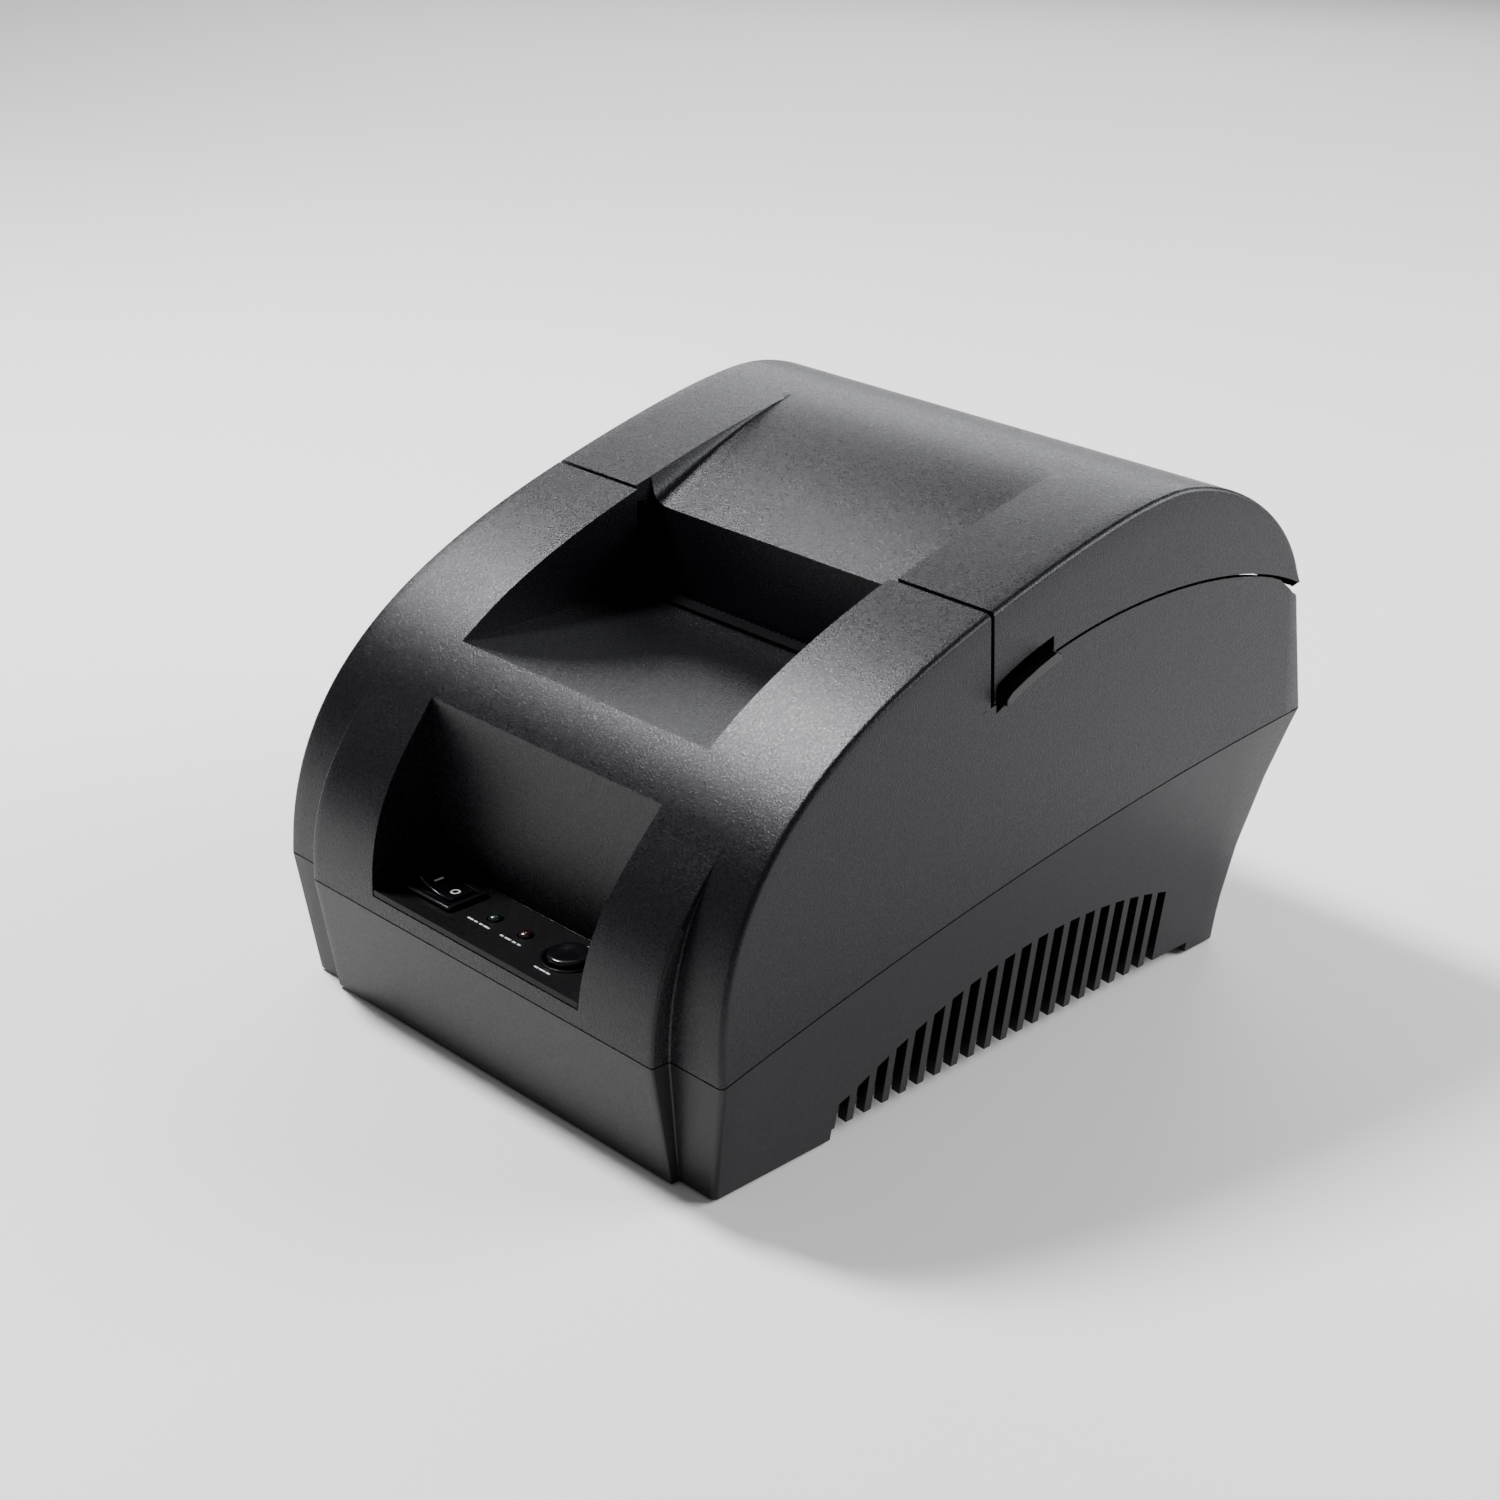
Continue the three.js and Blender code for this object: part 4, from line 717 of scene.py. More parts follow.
# Top of the case under the lid: the lid's edge less a fine gap, which opens over the last centimetre.
def gapEdge(y):
    extra = 2.4 * np.clip((y - 79) / 6, 0, 1)
    return np.maximum(lidEdgeAt(np.minimum(y, backTopY)) - 0.6 - extra, caseBack["topZ"])


beltY = withStops(np.linspace(endY, backTopY - 4, 30), [endY, lidFrontY + 0.6, lidFrontY + 17.7], 0.9)
beltColumns, slotColumn = [], []
restShares = np.linspace(0, 1, 6)[1:]


# Heights down one column: a few near the top, then even steps to the bottom.
def beltHeights(top, bottom, dropTo):
    upper = top - beltDrops
    if dropTo is not None:
        upper[-1] = dropTo
    return np.concatenate([upper, upper[-1] + (bottom - upper[-1]) * restShares])


for y in beltY:
    z = beltHeights(float(gapEdge(y)), float(seamAt(y)) + gap, None)
    beltColumns.append(pointsAt(upperHalf(y, z), y, z))
cornerRound = caseBack["cornerRound"]
for a in roundAngles[1:]:
    z = beltHeights(caseBack["topZ"], 55.0, caseBack["earFloor"])
    y = backWallY(z) - cornerRound * (1 - np.sin(a))
    x = upperHalf(y, z) - cornerRound * (1 - np.cos(a))
    beltColumns.append(pointsAt(x, y, z))
for x in (62, 58, 55, caseBack["earOuter"], caseBack["earInner"], 36, 24, 12, 0):
    z = beltHeights(caseBack["topZ"], 55.0, caseBack["earFloor"])
    beltColumns.append(pointsAt(x, backWallY(z), z))
    if x == caseBack["earOuter"]:
        slotColumn = len(beltColumns) - 1
belt = np.array(beltColumns)
keep = np.ones((belt.shape[0] - 1, belt.shape[1] - 1), bool)
notchStart = int(np.argmin(abs(beltY - (lidFrontY + 0.6))))
notchEnd = int(np.argmin(abs(beltY - (lidFrontY + 17.7))))
keep[notchStart:notchEnd, 0] = False
keep[slotColumn, 0:3] = False
upperParts.append(sheet(belt, (1, 0.4, 0), keep))
upperParts += [mirrored(p) for p in list(upperParts)]
upperCase = makePiece(
    "upper_case_skin", upperParts,
    "case", texturedBlack, ["upper_case"], closed=False,
)
thicken(upperCase, wall)
softenEdges(upperCase, 0.35)
print("upper case made")

baseShape = {
    "ventCount": 20, "ventPitch": 5.16, "ventWidth": 3.15, "ventStart": 40.7,
    "ventCrown": 25.8, "ventCrownPlace": 105.2, "ventArc": 123.0,
    "floor": 3.0, "skirtFoot": 0.5, "skirtFrontEnd": -51.7, "skirtBackStart": 62.9,
}


# Top of the vents: a shallow arc that falls with the square of the distance from its middle.
def ventTop(y):
    across = y - (frontY + baseShape["ventCrownPlace"])
    return np.clip(baseShape["ventCrown"] - across ** 2 / (2 * baseShape["ventArc"]), 8.6, None)


# Heights down the base: the seam, three stated or even levels, the vent's top, the floor and the foot.
def baseRows(seam, vent, levels=None):
    middle = (seam + (levels[0] if levels else vent)) / 2
    if levels is None:
        levels = [vent + (middle - vent) * share for share in (0.75, 0.5, 0.25)]
    floor = baseShape["floor"]
    return np.array([
        seam, seam - 1.2, seam - 4.0, middle, *levels, vent, (vent + floor) / 2, floor, baseShape["skirtFoot"],
    ])


# Place of the flank's front below the seam: it leans back towards the foot.
def flankFootY(z):
    return noseY + 2.8 * (1 - (z - 0.5) / (seamFront - 0.5))


# Place of the bulge's front below the seam, which leans back further.
def bulgeFootY(z):
    return frontY + 5.2 * (1 - (z - 0.5) / (seamFront - 0.5))


# Place of the base's back at a height: read off its curve.
def baseBackY(z):
    return np.interp(z, baseBackDense[::-1, 1], baseBackDense[::-1, 0])


baseColumns = []
frontX = np.concatenate([np.linspace(0, grooveX[0], 9), grooveX[1:], [60.0]])
for x in frontX:
    z = baseRows(seamFront, 8.6)
    share = bulgeShare(x)
    y = flankFootY(z) * (1 - share) + bulgeFootY(z) * share
    baseColumns.append(pointsAt(x, y, z))
for a in roundAngles:
    z = baseRows(seamFront, 8.6)
    y = flankFootY(z) + edgeRound * (1 - np.cos(a))
    z[0] = seamAt(y[0])
    x = baseHalf(y, z) - edgeRound * (1 - np.sin(a))
    baseColumns.append(pointsAt(x, y, z))
ventMiddle = frontY + baseShape["ventStart"] + baseShape["ventPitch"] * np.arange(baseShape["ventCount"])
ventLow = ventMiddle - baseShape["ventWidth"] / 2
ventHigh = ventMiddle + baseShape["ventWidth"] / 2
sideStops = sorted([*ventLow, *ventHigh, baseShape["skirtFrontEnd"], baseShape["skirtBackStart"]])
sideLine = withStops([-77.0, -70.0, -64.0, -58.0, 54.0, 58.0, 67.0], sideStops, 0.4)
sideStart = len(baseColumns)
for y in sideLine:
    z = baseRows(float(seamAt(y)), float(ventTop(y)))
    baseColumns.append(pointsAt(baseHalf(y, z), y, z))
socketLevels = [25.0, 24.6, 23.6]
for a in roundAngles:
    z = baseRows(seamBack, 11.6, socketLevels)
    y = baseBackY(z) - cornerRound * (1 - np.sin(a))
    x = baseHalf(y, z) - cornerRound * (1 - np.cos(a))
    baseColumns.append(pointsAt(x, y, z))
baseBelt = np.array(baseColumns)
cornerX = baseBelt[-1, :, 0]
keep = np.ones((baseBelt.shape[0] - 1, baseBelt.shape[1] - 1), bool)
for low, high in zip(ventLow, ventHigh):
    k = sideStart + int(np.argmin(abs(sideLine - low)))
    keep[k, 7:] = False
openStart = sideStart + int(np.argmin(abs(sideLine - baseShape["skirtFrontEnd"])))
openEnd = sideStart + int(np.argmin(abs(sideLine - baseShape["skirtBackStart"])))
keep[openStart:openEnd, 9] = False
baseHalfPart = sheet(baseBelt, (1, 0, 0), keep)
baseParts = [baseHalfPart, mirrored(baseHalfPart)]

# Back wall of the base, with a window for each socket
sockets = {
    "power": {"middle": -36.0, "half": 5.5, "height": 12.0, "rows": 5},
    "usb": {"middle": -14.0, "half": 6.0, "height": 11.0, "rows": 6},
    "drawer": {"middle": 12.0, "half": 6.7, "height": 12.4, "rows": 4},
}
backShares = [0.9, 0.75, 0.55, 0.4, 0.1, -0.08, -0.4, -0.8, -0.92]
backStops = [s["middle"] + side * (s["half"] + 0.5) for s in sockets.values() for side in (-1, 1)]
backLine = np.array(sorted([60.0 * s for s in backShares] + backStops, reverse=True))
z = baseRows(seamBack, 11.6, socketLevels)
backX = np.vstack([cornerX, np.repeat(backLine[:, None], len(z), axis=1), -cornerX])
backGrid = pointsAt(backX, baseBackY(z)[None], z[None])
keep = np.ones((len(backX) - 1, len(z) - 1), bool)
for s in sockets.values():
    inside = abs((backLine[:-1] + backLine[1:]) / 2 - s["middle"]) < s["half"]
    keep[1 + np.flatnonzero(inside), s["rows"]:7] = False
baseParts.append(sheet(backGrid, (0, 1, 0), keep))
baseSkin = makePiece(
    "base_case_skin", baseParts,
    "case", baseBlack, ["base_case"], closed=False,
)
thicken(baseSkin, wall)
softenEdges(baseSkin, 0.3)

# Floor plate under the base, with a round well for each case screw
wells = [(sx * 54.1, y) for sx in (-1, 1) for y in (frontY + 19, backY - 32)]
plateX = [-59.0, -58.6, -49.6, 0, 49.6, 58.6, 59.0]
plateY = [-82.0, wells[0][1] - 4.5, wells[0][1] + 4.5, 0, wells[1][1] - 4.5, wells[1][1] + 4.5, 72.4]
gridX, gridY = np.meshgrid(plateX, plateY)
plate = pointsAt(gridX, gridY, baseShape["floor"])
plateKeep = np.ones((6, 6), bool)
for j in (1, 4):
    for i in (1, 4):
        plateKeep[j, i] = False
floorParts = [sheet(plate, (0, 0, -1), plateKeep)]
around = np.linspace(0, 2 * np.pi, 49)
squareReach = 4.5 / np.maximum(abs(np.cos(around)), abs(np.sin(around)))
for x, y in wells:
    rings = []
    for radius, z in ((squareReach, 3.0), (3.4, 3.0), (3.2, 3.2), (3.2, 17.6), (1.7, 17.8)):
        rings.append(pointsAt(x + radius * np.cos(around), y + radius * np.sin(around), z))
    floorParts.append(sheet(np.array(rings), (0, 0, -1)))
baseFloor = makePiece("base_floor", floorParts, "case", baseBlack, (), closed=False)
thicken(baseFloor, 1.6)
print("base made")

lidFootZ = 84.2
lidT = np.linspace(0, 1, 30)
lidRowY = withStops(bezier(lidControls, lidT)[:, 0], [lidFrontY, lidFrontY + 0.6, lipY, lidFrontY + 17.1], 0.7)
lidRowZ = np.interp(lidRowY, lidDense[:, 0], lidDense[:, 1])
backT = np.linspace(0, 1, 30)[1:]
backPoints = bezier(backControls, backT)
backPoints[:, 1] = np.maximum(backPoints[:, 1], lidFootZ)
profileY = np.concatenate([lidRowY, backPoints[:, 0]])
profileZ = np.concatenate([lidRowZ, backPoints[:, 1]])
lidDirection = easedTo(inwardDirections(profileY, profileZ), (0, -1), 4)
spare = profileZ - lidEdgeAt(profileY)
lidRound = np.clip(0.4 * spare + 0.25, 0.25, edgeRound)
lidEdgePart = []
for a in roundAngles:
    depth = lidRound * (1 - np.cos(a))
    y = profileY + lidDirection[:, 0] * depth
    z = np.maximum(profileZ + lidDirection[:, 1] * depth, lidFootZ)
    lidEdgePart.append(np.stack([upperHalf(y, z) - lidRound * (1 - np.sin(a)), y, z], axis=-1))
lidEdgePart = np.stack(lidEdgePart, axis=1)
scoopHalf = caseShape["scoopHalf"]
flankX = [np.full(len(profileY), scoopHalf)]
for share in (0.12, 0.35, 0.6, 0.85):
    flankX.append(scoopHalf + (lidEdgePart[:, 0, 0] - scoopHalf) * share)
flankX = np.stack(flankX, axis=1)
flank = pointsAt(flankX, profileY[:, None], profileZ[:, None])
lidOuter = np.concatenate([flank, lidEdgePart], axis=1)

# The scoop: depth under the lid's line times a share that grows from the rim inwards
scoopFloor = np.interp(profileY, scoopDense[:, 0], scoopDense[:, 1])
scoopDepth = np.where(profileY < lipY + scoopLength, np.clip(profileZ - scoopFloor, 0, None), 0)
deepest = scoopDepth[int(np.argmin(abs(profileY - lipY)))]
rimInset = np.array([0, 0.28, 0.62, 1.05, 1.6, 2.3, 3.2, 4.3, 5.8, 7.8])
rimShare = np.array([0, 0.22, 0.46, 0.66, 0.80, 0.89, 0.945, 0.98, 0.996, 1.0])
spread = 0.1 + 0.9 * np.clip(scoopDepth / deepest, 0, 1)
rimX = scoopHalf - rimInset[None, :] * spread[:, None]
innerX = rimX[:, -1:] * np.linspace(1, 0, 9)[None, 1:]
scoopX = np.concatenate([rimX, innerX], axis=1)
scoopShare = np.concatenate([rimShare, np.ones(8)])
scoopPart = pointsAt(scoopX, profileY[:, None], profileZ[:, None] - scoopDepth[:, None] * scoopShare[None, :])
lipRow = int(np.argmin(abs(profileY - lipY)))
lidParts = [sheet(lidOuter, (0, 0, 1)), sheet(scoopPart[lipRow:], (0, 0, 1))]

# Front: flank block, cheek and the wall under the lip
blockLevels = np.linspace(0, 1, 6)
block = np.repeat(lidOuter[0][None], 6, axis=0)
block[:, :, 2] += (topZ - 30.7 - lidOuter[0][None, :, 2]) * blockLevels[:, None]
block[:, -1, 0] = upperHalf(lidFrontY, block[:, -1, 2])
lidParts.append(sheet(block, (0, -1, 0)))
lipFoot = chuteZ - 1.6
cheekRows = lidOuter[: lipRow + 1, 0]
cheekLevels = np.linspace(0, 1, 8)
cheek = np.repeat(cheekRows[:, None], 8, axis=1)
cheek[:, :, 2] += (topZ - 30.7 - cheekRows[:, 2])[:, None] * cheekLevels[None, :]
lean = np.clip((lipZ - cheek[-1, :, 2]) / (lipZ - lipFoot), 0, 1) * 1.5
cheekShare = np.linspace(0, 1, lipRow + 1)
cheek[:, :, 1] -= cheekShare[:, None] ** 3 * lean[None, :]
lidParts.append(sheet(cheek, (-1, 0, 0)))
lipTop = scoopPart[lipRow]
lipWall = []
for k in range(9):
    line = lipTop.copy()
    target = cheek[-1, k, 2] if k < 8 else lipFoot
    start = cheek[-1, 0, 2]
    end = lipFoot
    share = (start - target) / (start - end)
    line[:, 2] = lipTop[:, 2] + (end - lipTop[:, 2]) * share
    line[:, 1] = lipY - np.clip((lipZ - line[:, 2]) / (lipZ - lipFoot), 0, 1) * 1.5
    lipWall.append(line)
lidParts.append(sheet(np.array(lipWall), (0, -1, 0)))

# Side skin, notched over the release tab
skirtTop = lidOuter[:, -1]
lowEdge = np.minimum(np.maximum(lidEdgeAt(skirtTop[:, 1]), lidFootZ * (skirtTop[:, 1] > 60)), skirtTop[:, 2])
notchTop = np.minimum(lowEdge + 3.3, skirtTop[:, 2])
skirtZ = np.stack([
    skirtTop[:, 2], skirtTop[:, 2] * 0.6 + notchTop * 0.4, skirtTop[:, 2] * 0.2 + notchTop * 0.8, notchTop, lowEdge,
], axis=1)
skirtY = np.repeat(skirtTop[:, 1][:, None], 5, axis=1)
skirt = np.stack([upperHalf(skirtY, skirtZ), skirtY, skirtZ], axis=-1)
skirt[0, :, 2] = block[[0, 1, 3, 4, 5], -1, 2]
skirt[0, :, 0] = block[[0, 1, 3, 4, 5], -1, 0]
keep = np.ones((len(skirtTop) - 1, 4), bool)
notchA = int(np.argmin(abs(skirtTop[:, 1] - (lidFrontY + 0.7))))
notchB = int(np.argmin(abs(skirtTop[:, 1] - (lidFrontY + 17.7))))
keep[notchA:notchB, 3] = False
lidParts.append(sheet(skirt, (1, 0, 0), keep))
lidParts += [mirrored(p) for p in list(lidParts)]
lidSkin = makePiece("lid_skin", lidParts, "lid", texturedBlack, ["lid_shell"], closed=False)
thicken(lidSkin, wall)
softenEdges(lidSkin, 0.35)
print("lid made")

ears = {"lidX": (46.0, 51.0), "bossX": (51.8, 55.8), "radius": 2.9}
earOutline = np.concatenate([
    arcPoints(hingeY, hingeZ, ears["radius"], 180, 330, 16),
    [(backTopY - 0.6, backTopZ - 0.4), (backTopY - 1.2, backTopZ + 3), (backTopY - 6, backTopZ + 9)],
    [(hingeY - 5, backTopZ + 8), (hingeY - 2.9, hingeZ + 5)],
])
bossOutline = np.concatenate([
    arcPoints(hingeY, hingeZ, 2.7, 110, 250, 14),
    [(backTopY - 1.1, hingeZ - 4), (backTopY - 1.1, hingeZ + 2.5)],
])
earPart = prism(earOutline, *ears["lidX"])
bossPart = prism(bossOutline, *ears["bossX"])
lidEars = makePiece("lid_ears", [earPart, mirrored(earPart)], "lid", texturedBlack, ())
softenEdges(lidEars, 0.3)
hingeBosses = makePiece("hinge_bosses", [bossPart, mirrored(bossPart)], "case", innerBlack, ())
softenEdges(hingeBosses, 0.3)
print("hinge pieces made")

panel = {"top": 32.8, "controlY": -79.6, "trimHalf": 30.8, "trimY": -71.95, "buttonX": 17.3}
ringProfile = [(32.85, 5.2), (33.1, 5.3), (33.2, 5.55), (33.1, 5.85), (32.85, 5.95)]
ringPart = lathe(ringProfile + ringProfile[:1], (panel["buttonX"], panel["controlY"], 0), "z", 64)
trimPart = loopStack([
    (0.16, 0.12, 0.1, -panel["trimHalf"]), (0.16, 0.12, 0.1, panel["trimHalf"]),
], (0, panel["trimY"], panel["top"] + 0.13), "x")
makePiece("panel_trim", [ringPart, trimPart], "case", polishedBlack, ())

# Small marks beside the lights and the button: dots and dashes of paint
markLevels = [(0.0, panel["top"] + 0.02), (0.07, panel["top"] + 0.07)]
markPlaces = [
    (-8.6, 0.9), (-6.9, 0.5), (-5.3, 0.5), (-3.6, 0.9), (1.2, 0.5), (3.0, 0.9),
    (4.9, 0.5), (6.4, 0.5), (15.6, 0.6), (17.3, 0.9), (19.0, 0.6),
]
markParts = []
for x, half in markPlaces:
    y = panel["controlY"] - (6.9 if x > 12 else 3.6)
    markParts.append(loopStack([(half - s, 0.22 - s / 2, 0.1, z) for s, z in markLevels], (x, y, 0)))
makePiece("panel_marks", markParts, "case", markWhite, ())

switch = {"centre": (-20.9, -79.6, 32.8), "pivotZ": 32.2, "restTilt": 9.0, "half": 5.3, "depth": 3.1, "dish": 1.1}
housingLevels = [
    (6.9, 4.6, 0.5, -11.5), (6.9, 4.6, 0.5, 0.3), (7.6, 5.4, 1.0, 0.3), (7.6, 5.4, 1.0, 0.85), (7.5, 5.3, 0.95, 1.08),
    (7.25, 5.05, 0.8, 1.2), (6.3, 3.7, 0.5, 1.2), (6.15, 3.55, 0.45, 1.1), (6.1, 3.5, 0.4, 0.9), (6.1, 3.5, 0.4, -5.6),
]
makePiece(
    "switch_housing", [loopStack(housingLevels, switch["centre"])],
    "case", polishedBlack, ["rocker_housing"],
)


# Top of the rocker: a shallow dish, its height growing with the square of the distance from the middle.
def rockerTop(x):
    return 2.0 + switch["dish"] * (x / switch["half"]) ** 2


# Rocker pieces turned about their pivot by the rest tilt and set in place.
def tiltRocker(part):
    verts, faces = part
    a = math.radians(switch["restTilt"])
    x, z = verts[:, 0], verts[:, 2]
    turned = np.column_stack([x * math.cos(a) + z * math.sin(a), verts[:, 1], z * math.cos(a) - x * math.sin(a)])
    return turned + np.array([switch["centre"][0], switch["centre"][1], switch["pivotZ"]]), faces


dishX = np.linspace(-switch["half"], switch["half"], 21)
rockerOutline = np.concatenate([np.column_stack([dishX, rockerTop(dishX)]), [(4.5, -3.0), (-4.5, -3.0)]])
rockerVerts, rockerFaces = prism(rockerOutline, -switch["depth"], switch["depth"])
rockerPart = tiltRocker((rockerVerts[:, [1, 0, 2]], rockerFaces))
rocker = makePiece("rocker_key", [rockerPart], "rocker", polishedBlack, ["power_rocker"])
softenEdges(rocker, 0.3, 3, 30)


# A flat mark laid on the dish: its height follows the top.
def onRocker(part):
    verts, faces = part
    raised = verts.copy()
    raised[:, 2] += rockerTop(verts[:, 0])
    return tiltRocker((raised, faces))


barPart = loopStack([(0.19, 1.15, 0.1, 0.0), (0.19, 1.15, 0.1, 0.05)], (-2.7, 0, 0))
circleProfile = [(0.0, 0.68), (0.05, 0.70), (0.05, 1.02), (0.0, 1.05), (0.0, 0.68)]
circlePart = lathe(circleProfile, (2.7, 0, 0), "z", 40)
makePiece("rocker_marks", [onRocker(barPart), onRocker(circlePart)], "rocker", markWhite, ())

button = {"bottom": 29.3, "top": 34.3, "radius": 4.5}
buttonProfile = [
    (button["bottom"], 0.01), (button["bottom"], 4.3), (29.5, button["radius"]), (33.7, button["radius"]),
    (34.0, 4.42), (34.2, 4.2), (button["top"], 3.85), (34.28, 3.2), (34.16, 2.0), (34.1, 0.9), (34.08, 0.01),
]
makePiece(
    "button_cap", [lathe(buttonProfile, (panel["buttonX"], panel["controlY"], 0), "z", 72)],
    "button", polishedBlack, ["feed_button"],
)

lights = {"power_led": (-5.3, greenLens, "led_green"), "error_led": (4.2, redLens, "led_red")}
lensProfile = [
    (23.7, 0.01), (23.7, 1.45), (23.9, 1.5), (32.9, 1.5), (33.15, 1.42),
    (33.4, 1.2), (33.58, 0.8), (33.65, 0.4), (33.66, 0.01),
]
for name, (x, finish, slot) in lights.items():
    makePiece(
        name + "_lens", [lathe(lensProfile, (x, panel["controlY"], 0), "z", 40)],
        "case", finish, [name],
    )
print("control panel made")

leverShape = {
    "pivotY": 13.0, "pivotZ": 81.0, "arcZ": 77.0, "arcRadius": 15.0,
    "armX": (46.75, 52.75), "tabX": (51.75, 66.7), "frontY": -9.7,
}
pivotY, pivotZ = leverShape["pivotY"], leverShape["pivotZ"]
ridgeAngle = np.linspace(35, 125, 61)
ridgeDepth = np.where(abs(ridgeAngle - 78) < 30, 0.55 * (np.arange(61) % 3 == 0), 0)
ridgeRadius = leverShape["arcRadius"] - ridgeDepth
ridged = np.column_stack([
    pivotY + ridgeRadius * np.cos(np.radians(ridgeAngle)),
    leverShape["arcZ"] + ridgeRadius * np.sin(np.radians(ridgeAngle)),
])
frontTabZ = float(lidEdgeAt(lidFrontY + 1.2)) - 0.8
armOutline = np.concatenate([
    ridged, [(leverShape["frontY"], frontTabZ + 0.5), (leverShape["frontY"], frontTabZ - 3.5)],
    arcPoints(pivotY, pivotZ, 3.2, 200, 330, 14),
])
tabY = np.linspace(lidFrontY + 1.2, lidFrontY + 17.1, 13)
tabLow = np.column_stack([tabY, lidEdgeAt(tabY) - 0.8])
tabHigh = tabLow + np.array([0, 3.4])
tabHigh[0, 1] -= 0.5
tabHigh[-1, 1] -= 0.9
tabOutline = np.concatenate([tabLow, tabHigh[::-1]])
armPart = prism(armOutline, *leverShape["armX"])
tabPart = prism(tabOutline, *leverShape["tabX"])
tabCount = len(tabY)
tabPart[0][3 * tabCount:, 2] -= 1.3  # the top slopes down to the outer end
for side, suffix in ((1, "right"), (-1, "left")):
    parts = [armPart, tabPart] if side > 0 else [mirrored(armPart), mirrored(tabPart)]
    lever = makePiece(
        "lever_" + suffix, parts,
        "lever_" + suffix, polishedBlack, ["release_lever_" + suffix],
    )
    softenEdges(lever, 0.55, 3, 34)
    spring = coil(2.1, 0.32, 2, side * 45.35, side * 46.15, (0, pivotY, pivotZ), "x")
    makePiece("lever_coil_" + suffix, [spring], "case", brightSteel, ["lever_spring_" + suffix])
print("levers made")

platenShape = {"y": -4.8, "z": 68.75, "radius": 5.0, "half": 28.75, "shaftEnd": 39.95}
half, shaftEnd = platenShape["half"], platenShape["shaftEnd"]
centre = (0, platenShape["y"], platenShape["z"])
rubberProfile = [
    (-half, 1.8), (-half, 4.7), (-28.45, platenShape["radius"]), (28.45, platenShape["radius"]),
    (half, 4.7), (half, 1.8), (-half, 1.8),
]
makePiece(
    "platen_rubber", [lathe(rubberProfile, centre, "x", 72)],
    "platen", platenRubber, ["platen_roller"],
)
shaftProfile = [
    (-shaftEnd, 0.01), (-shaftEnd, 1.3), (-39.75, 1.5), (-36.6, 1.5), (-36.5, 1.2), (-36.1, 1.2),
    (-36.0, 1.5), (39.75, 1.5), (shaftEnd, 1.3), (shaftEnd, 0.01),
]
makePiece(
    "platen_axle", [lathe(shaftProfile, centre, "x", 40)],
    "platen", brightSteel, ["platen_shaft"],
)
for side, suffix in ((1, "right"), (-1, "left")):
    bushProfile = [(30.55, 1.6), (30.55, 2.75), (30.7, 2.9), (33.4, 2.9), (33.55, 2.75), (33.55, 1.6), (30.55, 1.6)]
    bushProfile = [(side * p, r) for p, r in bushProfile]
    makePiece(
        "bush_" + suffix, [lathe(bushProfile, centre, "x", 48)],
        "lid", nylonWhite, ["platen_bush_" + suffix],
    )
makePiece(
    "head_coil", [coil(2.15, 0.4, 3.2, -17.0, -14.65, (0, 0, 67.25), "y")],
    "case", brightSteel, ["head_spring"],
)

rollShape = {"y": 36.0, "z": 64.4, "radius": 25.0, "half": 28.75, "core": 8.3}
half, rollRadius = rollShape["half"], rollShape["radius"]
rollRings = np.linspace(rollShape["core"], 24.7, 34)
ringStep = 0.06 * (np.arange(34) % 2)
faceRight = np.column_stack([half - ringStep, rollRings])
faceLeft = np.column_stack([-half + ringStep[::-1], rollRings[::-1]])
rim = np.column_stack([np.linspace(24, -24, 9), np.full(9, rollRadius)])
rollProfile = np.concatenate([
    faceRight, [(28.6, rollRadius)], rim, [(-28.6, rollRadius)], faceLeft, faceRight[:1],
])
rollCentre = (0, rollShape["y"], rollShape["z"])
rollPart = lathe(rollProfile, rollCentre, "x", 96)
paperRoll = makePiece("wound_paper", [rollPart], "roll", printedPaper, ["paper_roll"], 30)
where = np.zeros(len(paperRoll.data.vertices) * 3)
paperRoll.data.vertices.foreach_get("co", where)
where = where.reshape(-1, 3) / mm
swing = np.arctan2(where[:, 2] - rollShape["z"], where[:, 1] - rollShape["y"])
reach = np.hypot(where[:, 2] - rollShape["z"], where[:, 1] - rollShape["y"])
printed = (abs(where[:, 0]) < 25) & (reach > 24.9) & (swing > -0.4)
laid = np.column_stack([where[:, 0] * mm, swing * rollRadius * mm, printed.astype(float)])
layer = paperRoll.data.attributes.new("laid", "FLOAT_VECTOR", "POINT")
layer.data.foreach_set("vector", laid.ravel())
coreProfile = [(-half, 6.5), (-half, 8.0), (half, 8.0), (half, 6.5), (-half, 6.5)]
makePiece(
    "core_tube", [lathe(coreProfile, rollCentre, "x", 64)],
    "roll", cardboard, ["paper_core"],
)
print("paper and platen made")

backSockets = {"frontY": 75.3, "depth": 15.0, "low": 11.9}


# A socket shell seen from behind: a block whose mouth is a lined hollow.
def socketShell(middle, half, height, hollow, deep, corner):
    centre = (middle, backSockets["frontY"], backSockets["low"] + height / 2)
    tall = height / 2
    levels = [
        (half, tall, 0.3, -backSockets["depth"]), (half, tall, 0.3, -0.25), (half - 0.25, tall - 0.25, 0.25, 0),
        (hollow[0] + 0.25, hollow[1] + 0.25, corner, 0), (*hollow, corner, -0.3), (*hollow, corner, -deep),
    ]
    return loopStack(levels, centre, "y"), centre


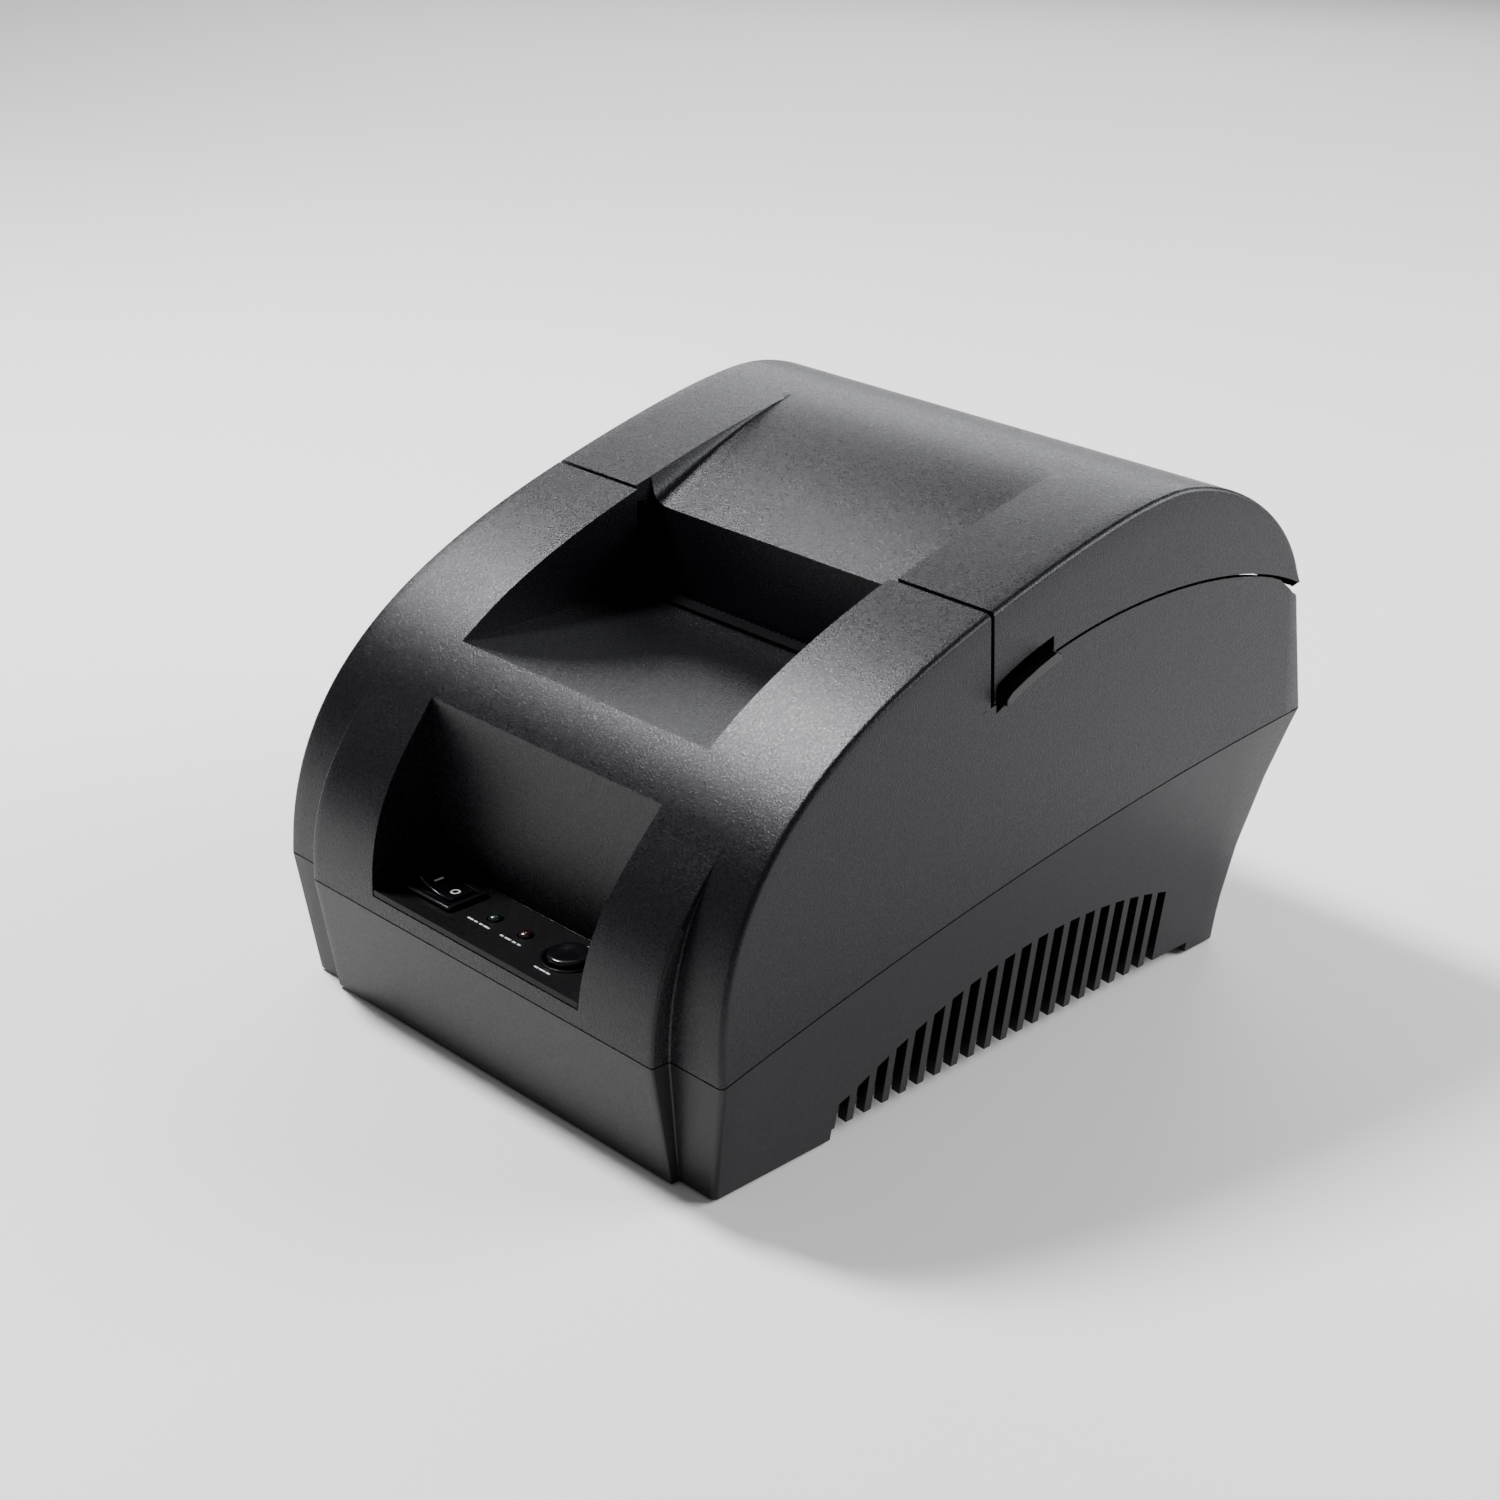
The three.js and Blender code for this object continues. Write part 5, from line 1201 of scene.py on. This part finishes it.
powerShell, powerCentre = socketShell(-36.0, 5.5, 12.0, (3.2, 3.2), 10.0, 3.19)
pinProfile = [(-9.9, 0.99), (-2.2, 1.0), (-1.7, 0.8), (-1.5, 0.01)]
makePiece("power_inlet_body", [powerShell], "case", polishedBlack, ["power_inlet"])
makePiece(
    "power_inlet_pin", [lathe([(-9.9, 0.01)] + pinProfile, powerCentre, "y", 24)],
    "case", brightSteel, (),
)
usbShell, usbCentre = socketShell(-14.0, 6.0, 11.0, (4.2, 3.9), 9.0, 0.4)
makePiece("usb_body", [usbShell], "case", brightSteel, ["usb_socket"])
tongue = loopStack([(2.9, 1.6, 0.2, -8.9), (2.9, 1.6, 0.2, -2.3), (2.7, 1.4, 0.2, -2.0)], usbCentre, "y")
makePiece("usb_tongue", [tongue], "case", nylonWhite, ())
drawerShell, drawerCentre = socketShell(12.0, 6.7, 12.4, (5.0, 4.0), 11.0, 0.3)
makePiece("drawer_body", [drawerShell], "case", innerBlack, ["drawer_socket"])
wires = []
for k in range(6):
    wireCentre = (drawerCentre[0] - 2.6 + 1.04 * k, drawerCentre[1], drawerCentre[2] + 3.2)
    wires.append(loopStack([(0.2, 0.25, 0.1, -10.5), (0.2, 0.25, 0.1, -2.5)], wireCentre, "y"))
makePiece("drawer_contacts", wires, "case", contactGold, ())

footProfile = [(2.7, 0.01), (2.7, 4.9), (2.5, 5.0), (0.6, 5.0), (0.15, 4.75), (0.0, 4.3), (0.0, 0.01)]
footPlaces = {"foot_fl": (-42, -60), "foot_bl": (-42, 52.4), "foot_fr": (42, -60), "foot_br": (42, 52.4)}
feet = [lathe(footProfile, (x, y, 0), "z", 40) for x, y in footPlaces.values()]
makePiece("rubber_feet", feet, "case", footRubber, list(footPlaces))
print("sockets and feet made")


slotFinishes = {
    "textured_black": texturedBlack, "inner_black": innerBlack, "gloss_black": polishedBlack,
    "platen_rubber": platenRubber, "foot_rubber": footRubber, "steel": brightSteel, "dark_steel": darkSteel,
    "aluminium": castAluminium, "nylon": nylonWhite, "head_ceramic": ceramic, "board_green": boardGreen,
    "paper": plainPaper, "cardboard": cardboard, "silver_label": stickerSilver,
    "led_green": greenLens, "led_red": redLens,
}
for entry in frame["record"]["subparts"]:
    node = nodes[entry["node"]]
    node.data.materials.clear()
    node.data.materials.append(slotFinishes[entry["material_slot"]])
# The tear bar's steel is darkened as painted shade, standing in for the shadow under the lid's lip.
for name, finish in (("control_panel", panelBlack), ("tear_bar", shadeDarkenedSteel)):
    nodes[name].data.materials.clear()
    nodes[name].data.materials.append(finish)
print("frame pieces finished")

floorMaterial, floorTree, floorShader, floorCoords = newMaterial("paleFloor")
floorTone = addNoise(floorTree, floorCoords, 6, 3)
floorColour = addRamp(floorTree, floorTone, [(0.3, (0.93, 0.92, 0.90)), (0.7, (0.95, 0.94, 0.92))])
floorTree.links.new(floorColour, floorShader.inputs["Base Color"])
floorShader.inputs["Roughness"].default_value = 0.6
floorMesh = bpy.data.meshes.new("floor")
floorMesh.from_pydata([(-4, -4, 0), (4, -4, 0), (4, 4, 0), (-4, 4, 0)], [], [(0, 1, 2, 3)])
floorMesh.materials.append(floorMaterial)
floorObject = bpy.data.objects.new("floor", floorMesh)
bpy.context.scene.collection.objects.link(floorObject)
floorObject.location.z = -0.0002

studio = {"worldColour": (0.95, 0.96, 1.0), "worldStrength": 0.24}
world = bpy.data.worlds.new("studio")
bpy.context.scene.world = world
world.use_nodes = True
world.node_tree.nodes["Background"].inputs["Color"].default_value = (*studio["worldColour"], 1)
world.node_tree.nodes["Background"].inputs["Strength"].default_value = studio["worldStrength"]


# An area light at a distance along a direction from a target, facing it.
def addLight(name, direction, distance, target, size, power, colour=(1, 1, 1)):
    data = bpy.data.lights.new(name, "AREA")
    data.shape = "RECTANGLE"
    data.size, data.size_y = size
    data.energy = power
    data.color = colour
    lamp = bpy.data.objects.new(name, data)
    outward = Vector(direction).normalized()
    lamp.location = Vector(target) + outward * distance
    lamp.rotation_euler = outward.to_track_quat("Z", "Y").to_euler()
    bpy.context.scene.collection.objects.link(lamp)
    return lamp


addLight("keyLight", (-0.56, -0.10, 0.82), 1.0, (0, -0.03, 0.08), (0.17, 0.24), 21, (0.97, 0.965, 1.0))
addLight("crownLight", (-0.60, 0.72, 0.36), 1.7, (0, 0, 0.08), (1.3, 0.5), 11, (0.95, 0.96, 1.0))
addLight("backLight", (0.62, 0.75, 0.50), 1.3, (0, 0, 0.05), (0.9, 0.6), 22, (0.95, 0.96, 1.0))

view = {"azimuth": 43.8, "elevation": 23.4, "roll": 1.85, "distance": 557.8, "target": (0, 2.2, 51.6), "lens": 61.87}
cameraData = bpy.data.cameras.new("camera")
cameraData.lens = view["lens"]
cameraData.sensor_width = 36
cameraData.shift_x = -0.0362
cameraData.shift_y = -0.0121
camera = bpy.data.objects.new("camera", cameraData)
azimuth, elevation = math.radians(view["azimuth"]), math.radians(view["elevation"])
outward = Vector((
    math.sin(azimuth) * math.cos(elevation), -math.cos(azimuth) * math.cos(elevation), math.sin(elevation),
))
place = (Vector(view["target"]) + outward * view["distance"]) * mm
turn = outward.to_track_quat("Z", "Y").to_matrix().to_4x4()
camera.matrix_world = Matrix.Translation(place) @ turn @ Matrix.Rotation(math.radians(view["roll"]), 4, "Z")
bpy.context.scene.collection.objects.link(camera)
bpy.context.scene.camera = camera
print("stage made")
